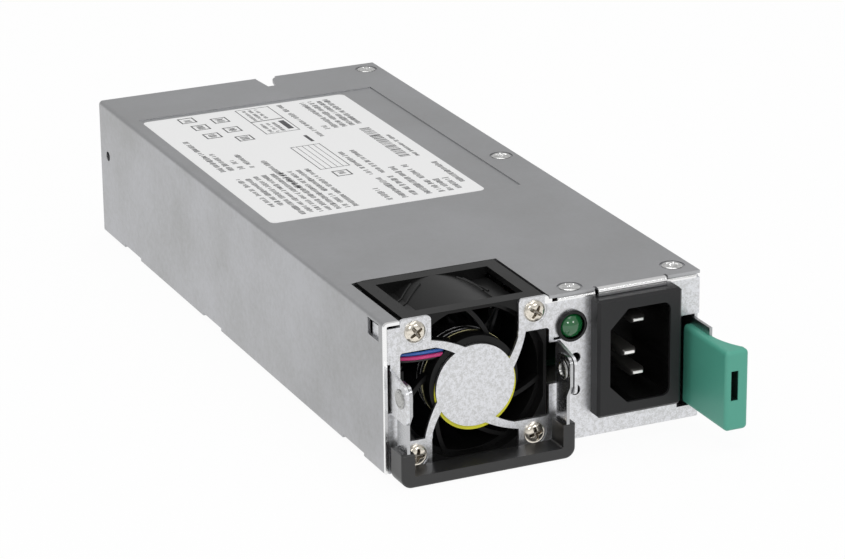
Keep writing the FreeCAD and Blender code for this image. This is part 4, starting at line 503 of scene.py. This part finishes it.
def rib(start, end, bow):
    """A round rib on the duct's outside. Its line runs from start to end in x and y, bowed sideways by a half
    sine, at the height of the duct's circle or of the web, whichever is higher. It carries a circle across it."""
    t = np.linspace(0, 1, 40)
    x = start[0] + (end[0] - start[0]) * t + bow * np.sin(np.pi * t)
    y = start[1] + (end[1] - start[1]) * t
    z = np.maximum(np.sqrt(duct_radius ** 2 - x ** 2) + fan_z, roof_floor)
    line = np.stack((fan_x + x, fan_low.y + y, z), axis=-1)
    ahead = np.gradient(line, axis=0)
    ahead /= np.linalg.norm(ahead, axis=1)[:, None]
    beside = np.cross(ahead, (0.0, 0.0, 1.0))
    beside /= np.linalg.norm(beside, axis=1)[:, None]
    above = np.cross(beside, ahead)
    turn = np.linspace(0, 2 * np.pi, 12, endpoint=False)[None, :, None]
    return line[:, None] + RIB_RADIUS * (np.cos(turn) * beside[:, None] + np.sin(turn) * above[:, None])


ribs = [rib((-0.0152, 0.0154), (-0.0062, 0.0232), 0.0), rib((-0.0150, 0.0128), (-0.0046, 0.0212), 0.0),
        rib((0.0060, 0.0225), (0.0096, 0.0148), 0.0012), rib((0.0078, 0.0228), (0.0112, 0.0152), 0.0012)]
built("roof_ribs", np.array(ribs), roof_black, "fan_plastic")


# ---------------------------------------------------------------- inlet
# A black thermoplastic appliance inlet with a bevelled bezel, snapped into the panel. Its outside is finely
# spark textured, and the walls of the socket are polished by the mould's core and painted near black as painted
# shade.
inlet_low, inlet_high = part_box("inlet_housing")
inlet_x, inlet_z = (inlet_low.x + inlet_high.x) / 2, (inlet_low.z + inlet_high.z) / 2
SOCKET_HALF_WIDTH, SOCKET_HALF_HEIGHT, BEVEL = 0.0088, 0.0128, 0.0008
outside_black, outside_rough = (0.017, 0.017, 0.018), 0.42
inlet_black = moulded("inlet_black", outside_black, outside_rough, grain=0.0005, depth=0.00003, gloss=0.32)
socket_polish_and_shade = inlet_black.inside(
    (inlet_x - SOCKET_HALF_WIDTH, inlet_low.y + BEVEL, inlet_z - SOCKET_HALF_HEIGHT),
    (inlet_x + SOCKET_HALF_WIDTH, inlet_high.y, inlet_z + SOCKET_HALF_HEIGHT))
# Inside the socket the roughness drops, and the colour is painted near black as painted shade.
inlet_black.set(Roughness=socket_polish_and_shade * -0.33 + outside_rough,
                Base_Color=inlet_black.tint(socket_polish_and_shade, outside_black, (0.005, 0.005, 0.005)))
dress(inlet_black, "inlet_housing")


# Three contacts, cut and coined from nickel plated brass bar, with chamfered tips. Their bodies are painted dark
# grey as painted shade, and the faces of their tips near white as a painted highlight.
def contact(node):
    """A bar along Y to a node's box: each ring is a superellipse of the eighth power, narrower at the tip."""
    low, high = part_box(node)
    middle, half = (low + high) / 2, (high - low) / 2
    angle = np.linspace(0, 2 * np.pi, 48, endpoint=False)
    across = np.sign(np.cos(angle)) * np.abs(np.cos(angle)) ** 0.25
    upright = np.sign(np.sin(angle)) * np.abs(np.sin(angle)) ** 0.25
    rings = []
    for along, trim in ((low.y, 0.00072), (low.y + 0.00006, 0.00066), (low.y + 0.00045, 0.00025),
                        (low.y + 0.0011, 0.0), (high.y, 0.0)):
        rings.append(np.stack((middle.x + across * (half.x - trim), np.full_like(angle, along),
                               middle.z + upright * (half.z - trim)), axis=-1))
    return np.array(rings)


TIP_HIGHLIGHT_DEPTH = 0.00013
contacts = ("line_blade", "neutral_blade", "earth_blade")
# The blades' bodies are painted dark grey as painted shade, and their tip faces near white as a painted highlight.
blade_nickel = Finish("blade_nickel", Metallic=0.8, Roughness=0.30)
tip_highlight = sum(blade_nickel.inside((low.x, low.y - PAST, low.z), (high.x, low.y + TIP_HIGHLIGHT_DEPTH, high.z))
             for low, high in map(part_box, contacts))
blade_nickel.set(Base_Color=blade_nickel.tint(tip_highlight, (0.13, 0.127, 0.12), (0.98, 0.97, 0.95)))
built("contact_blades", np.array([contact(node) for node in contacts]), blade_nickel, "nickel_blade", *contacts)


# ---------------------------------------------------------------- status lamp
# A lamp in dark green tinted resin: a dome on a stem, cast in one. It is pushed from behind into a glossy black
# nylon holder, which clips into the panel's round hole.
dress(moulded("holder_black", (0.004, 0.004, 0.004), 0.22, gloss=0.30), "led_holder")


def dome(node, rise):
    """A cap of a sphere, of the given rise, on a plain stem along Y, as rings from the crown to the stem's end.
    Its radius at a height h above the rim is the root of R^2 - (R - rise + h)^2, R = (r^2 + rise^2) / 2 rise."""
    low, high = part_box(node)
    radius = (high.x - low.x) / 2
    ball = (radius ** 2 + rise ** 2) / (2 * rise)
    height = rise * np.cos(np.linspace(0.02, np.pi / 2, 40))
    out = np.append(np.sqrt(np.maximum(ball ** 2 - (ball - rise + height) ** 2, 0)), radius * 0.99)
    along = np.append(low.y + rise - height, high.y)
    angle = np.linspace(0, 2 * np.pi, 96, endpoint=False)
    out, along, angle = out[:, None], along[:, None] + 0 * angle, angle[None, :]
    return np.stack(((low.x + high.x) / 2 + out * np.cos(angle), along,
                     (low.z + high.z) / 2 + out * np.sin(angle)), axis=-1)


DOME_RISE = 0.002376
lens = Finish("lamp_lens", Roughness=0.08, IOR=1.5, Specular_IOR_Level=1.0)
lens.set(Base_Color=lens.tint(lens.noise(0.004, 2.0), (0.004, 0.075, 0.018), (0.012, 0.145, 0.040)))
built("lamp_dome", dome("led_lens", DOME_RISE)[None], lens, "green_lens", "led_lens")


# ---------------------------------------------------------------- handle
# A strap of plated steel, stamped and folded to a U, turns on two rivets. A black plastic grip is moulded over
# its lower bar and corners.
dress(plated_sheet("strap_sheet", level=0.52, mottle=0.8, roughness=0.26, grain=0.0008), "handle_frame")
dress(moulded("grip_black", (0.016, 0.016, 0.0165), 0.34, grain=0.0005, depth=0.000008, gloss=0.6),
      "handle_grip")


# ---------------------------------------------------------------- latch
# A spring steel blade behind the right wall carries a wedge that locks the bay, and a green thumb cap with a
# narrow slot through its face. The slot's walls are painted near black as painted shade.
SLOT_LEFT, SLOT_RIGHT, SLOT_FOOT, SLOT_TOP = 0.0402, 0.0431, 0.0112, 0.0202
dress(plated("spring_steel", (0.52, 0.52, 0.53), 0.34), "latch_lever", "latch_tooth", "latch_spring")
green = (0.084, 0.37, 0.275)
cap_green = moulded("cap_green", green, 0.45, grain=0.0005, depth=0.000012)
cap_low, cap_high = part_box("latch_cap")
slot_painted_shade = cap_green.inside((SLOT_LEFT, cap_low.y + 0.0003, SLOT_FOOT), (SLOT_RIGHT, cap_high.y, SLOT_TOP))
# The slot's walls are painted dark green-black: painted shade.
cap_green.set(Base_Color=cap_green.tint(slot_painted_shade, green, (0.006, 0.022, 0.017)))
dress(cap_green, "latch_cap")


# ---------------------------------------------------------------- rating label
# A coated white paper label in the shallow field of the cover. Its print is plain: rows of short grey strokes,
# ruled frames, small squares and a band of fine stripes. All of the print's places and sizes are in mm.
label_paper = Finish("label_paper", Roughness=0.42)
fibre = label_paper.noise(0.0004, 2.0)
label_paper.set(Base_Color=label_paper.tint(fibre, (0.86, 0.86, 0.86), (0.90, 0.90, 0.90)))
label_paper.bump(fibre, 0.000002)
dress(label_paper, "rating_label")

PITCH = 0.7
RULE = 0.25
dice = np.random.default_rng(11)


def strokes(x, start, end, tall):
    """A row along Y of short bars: each pitch holds one bar of a random width and height, and about one in
    seven is left out, like the gaps between words."""
    count = int((end - start) / PITCH)
    begin = start + PITCH * np.arange(count) + dice.uniform(0, 0.12, count)
    wide = dice.uniform(0.26, 0.48, count)
    high = tall * dice.uniform(0.80, 1.40, count)
    bars = np.stack((x - high / 2, x + high / 2, begin, begin + wide), axis=-1)
    return bars[dice.random(count) > 0.14]


def box_of_rules(x0, y0, x1, y1, thick):
    """The four bars of a rectangle's outline, inside its corners."""
    return np.array([(x0, x0 + thick, y0, y1), (x1 - thick, x1, y0, y1),
                     (x0, x1, y0, y0 + thick), (x0, x1, y1 - thick, y1)])


# Each row of strokes: its middle in X, its start and end in Y, and its height.
rows = [(x, -17.0 if x > -30 else -8.0, 17.5, 1.2) for x in np.arange(-33.5, -13.0, 2.5)]
rows += [(-34.5, 24.5, 54, 1.3), (-32, 24.5, 41, 1.3), (-29, 24.5, 33, 1.3), (-26, 24.5, 38, 1.3)]
rows += [(-21.5, 3, 29, 1.2), (0.5, 5, 27, 1.2), (4, 5, 27, 1.2), (1.8, 41.5, 74, 1.2), (18.5, 14, 35, 1.0)]
rows += [(x, -16.5, end, 1.4) for x, end in ((-3.5, -6), (0.8, 2), (4.2, 2), (7.8, 9), (11.5, 9), (14.2, -6),
                                             (17, -6))]
rows += [(5.8, 47, 51, 1.3), (20, -12, 8, 1.3)] + [(x, 47, 73, 1.3) for x in (8.5, 11, 13.5, 15.8)]
print_bars = [strokes(*row) for row in rows]

# Two frames with rows inside, a ruled table, seven small squares, and two solid bars.
for x0, y0, x1, y1 in ((-11.5, 50.0, -1.3, 62.0), (-11.5, 62.0, -1.3, 74.0), (-10.3, 14.7, -1.5, 36.0)):
    print_bars.append(box_of_rules(x0, y0, x1, y1, RULE))
for x, y in ((-26.9, 71.5), (-25.7, 64.0), (-25.5, 55.5), (-18.4, 67.8), (-18.4, 58.4), (-18.2, 49.6),
             (-6.1, 9.6)):
    print_bars.append(box_of_rules(x - 2.3, y - 2.3, x + 2.3, y + 2.3, 0.4))
    print_bars.append(strokes(x, y - 1.4, y + 1.5, 1.8))
for x in (-8.6, -6.9, -5.2, -3.5):
    print_bars.append(np.array([(x, x + 0.16, 14.7, 36.0)]))
for x in (-9.4, -7.6, -5.8):
    print_bars.append(strokes(x, 63.0, 73.0, 0.9))
    print_bars.append(strokes(x, 51.0, 60.0, 0.9))
STRIPES = 46
stripe = np.cumsum(dice.uniform(0.35, 0.9, STRIPES)) + 14.7
print_bars.append(np.stack((np.full(STRIPES, 13.6), np.full(STRIPES, 16.7), stripe,
                            stripe + dice.uniform(0.12, 0.4, STRIPES)), axis=-1))
print_bars.append(np.array([(-4.0, -2.3, 52.0, 60.0), (-2.8, -1.8, 38.6, 44.5)]))

# Each bar is a thin slab of ink, set a hundredth of a millimetre into the paper.
INK_SUNK, INK_THICK = 0.00001, 0.00003
x0, x1, y0, y1 = np.concatenate(print_bars).T * 0.001
outline = np.stack((np.stack((x0, x1, x1, x0), axis=-1), np.stack((y0, y0, y1, y1), axis=-1)), axis=-1)
ink_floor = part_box("rating_label")[1].z - INK_SUNK
slabs = [np.concatenate((outline, np.full(outline.shape[:2] + (1,), height)), axis=-1)
         for height in (ink_floor, ink_floor + INK_THICK)]
ink = Finish("label_ink", Roughness=0.5)
worn = ink.noise(0.0008, 2.0)
ink.set(Base_Color=ink.tint(worn.between(0.3, 0.7), (0.035, 0.035, 0.038), (0.10, 0.10, 0.105)))
built("rating_print", np.stack(slabs, axis=1), ink, "label_white")


# ---------------------------------------------------------------- boards and parts inside
# Green glass-epoxy circuit boards stand on brass posts. Capacitors, wound chokes, a transformer and two extruded
# aluminium heat sinks are soldered to them. Little of it shows from outside the case.
dress(moulded("mask_green", (0.018, 0.11, 0.05), 0.35), "main_board", "output_board")
for inside, colour, shine in (("insulator_sheet", (0.60, 0.60, 0.55), 0.4),
                              ("bulk_capacitor", (0.03, 0.04, 0.09), 0.3),
                              ("transformer_core", (0.06, 0.06, 0.065), 0.6),
                              ("transformer_winding", (0.75, 0.55, 0.06), 0.4),
                              ("transformer_foot", (0.05, 0.05, 0.05), 0.5),
                              ("boost_choke", (0.45, 0.18, 0.06), 0.3),
                              ("filter_choke", (0.45, 0.18, 0.06), 0.3)):
    dress(moulded(inside + "_finish", colour, shine), inside)
for inside, colour, shine in (("standoffs", (0.66, 0.52, 0.24), 0.3),
                              ("board_spacers", (0.66, 0.52, 0.24), 0.3),
                              ("contact_fingers", (0.85, 0.62, 0.22), 0.25),
                              ("output_capacitors", (0.60, 0.61, 0.63), 0.3),
                              ("input_heat_sink", (0.62, 0.63, 0.64), 0.4),
                              ("output_heat_sink", (0.62, 0.63, 0.64), 0.4)):
    dress(plated(inside + "_finish", colour, shine), inside)
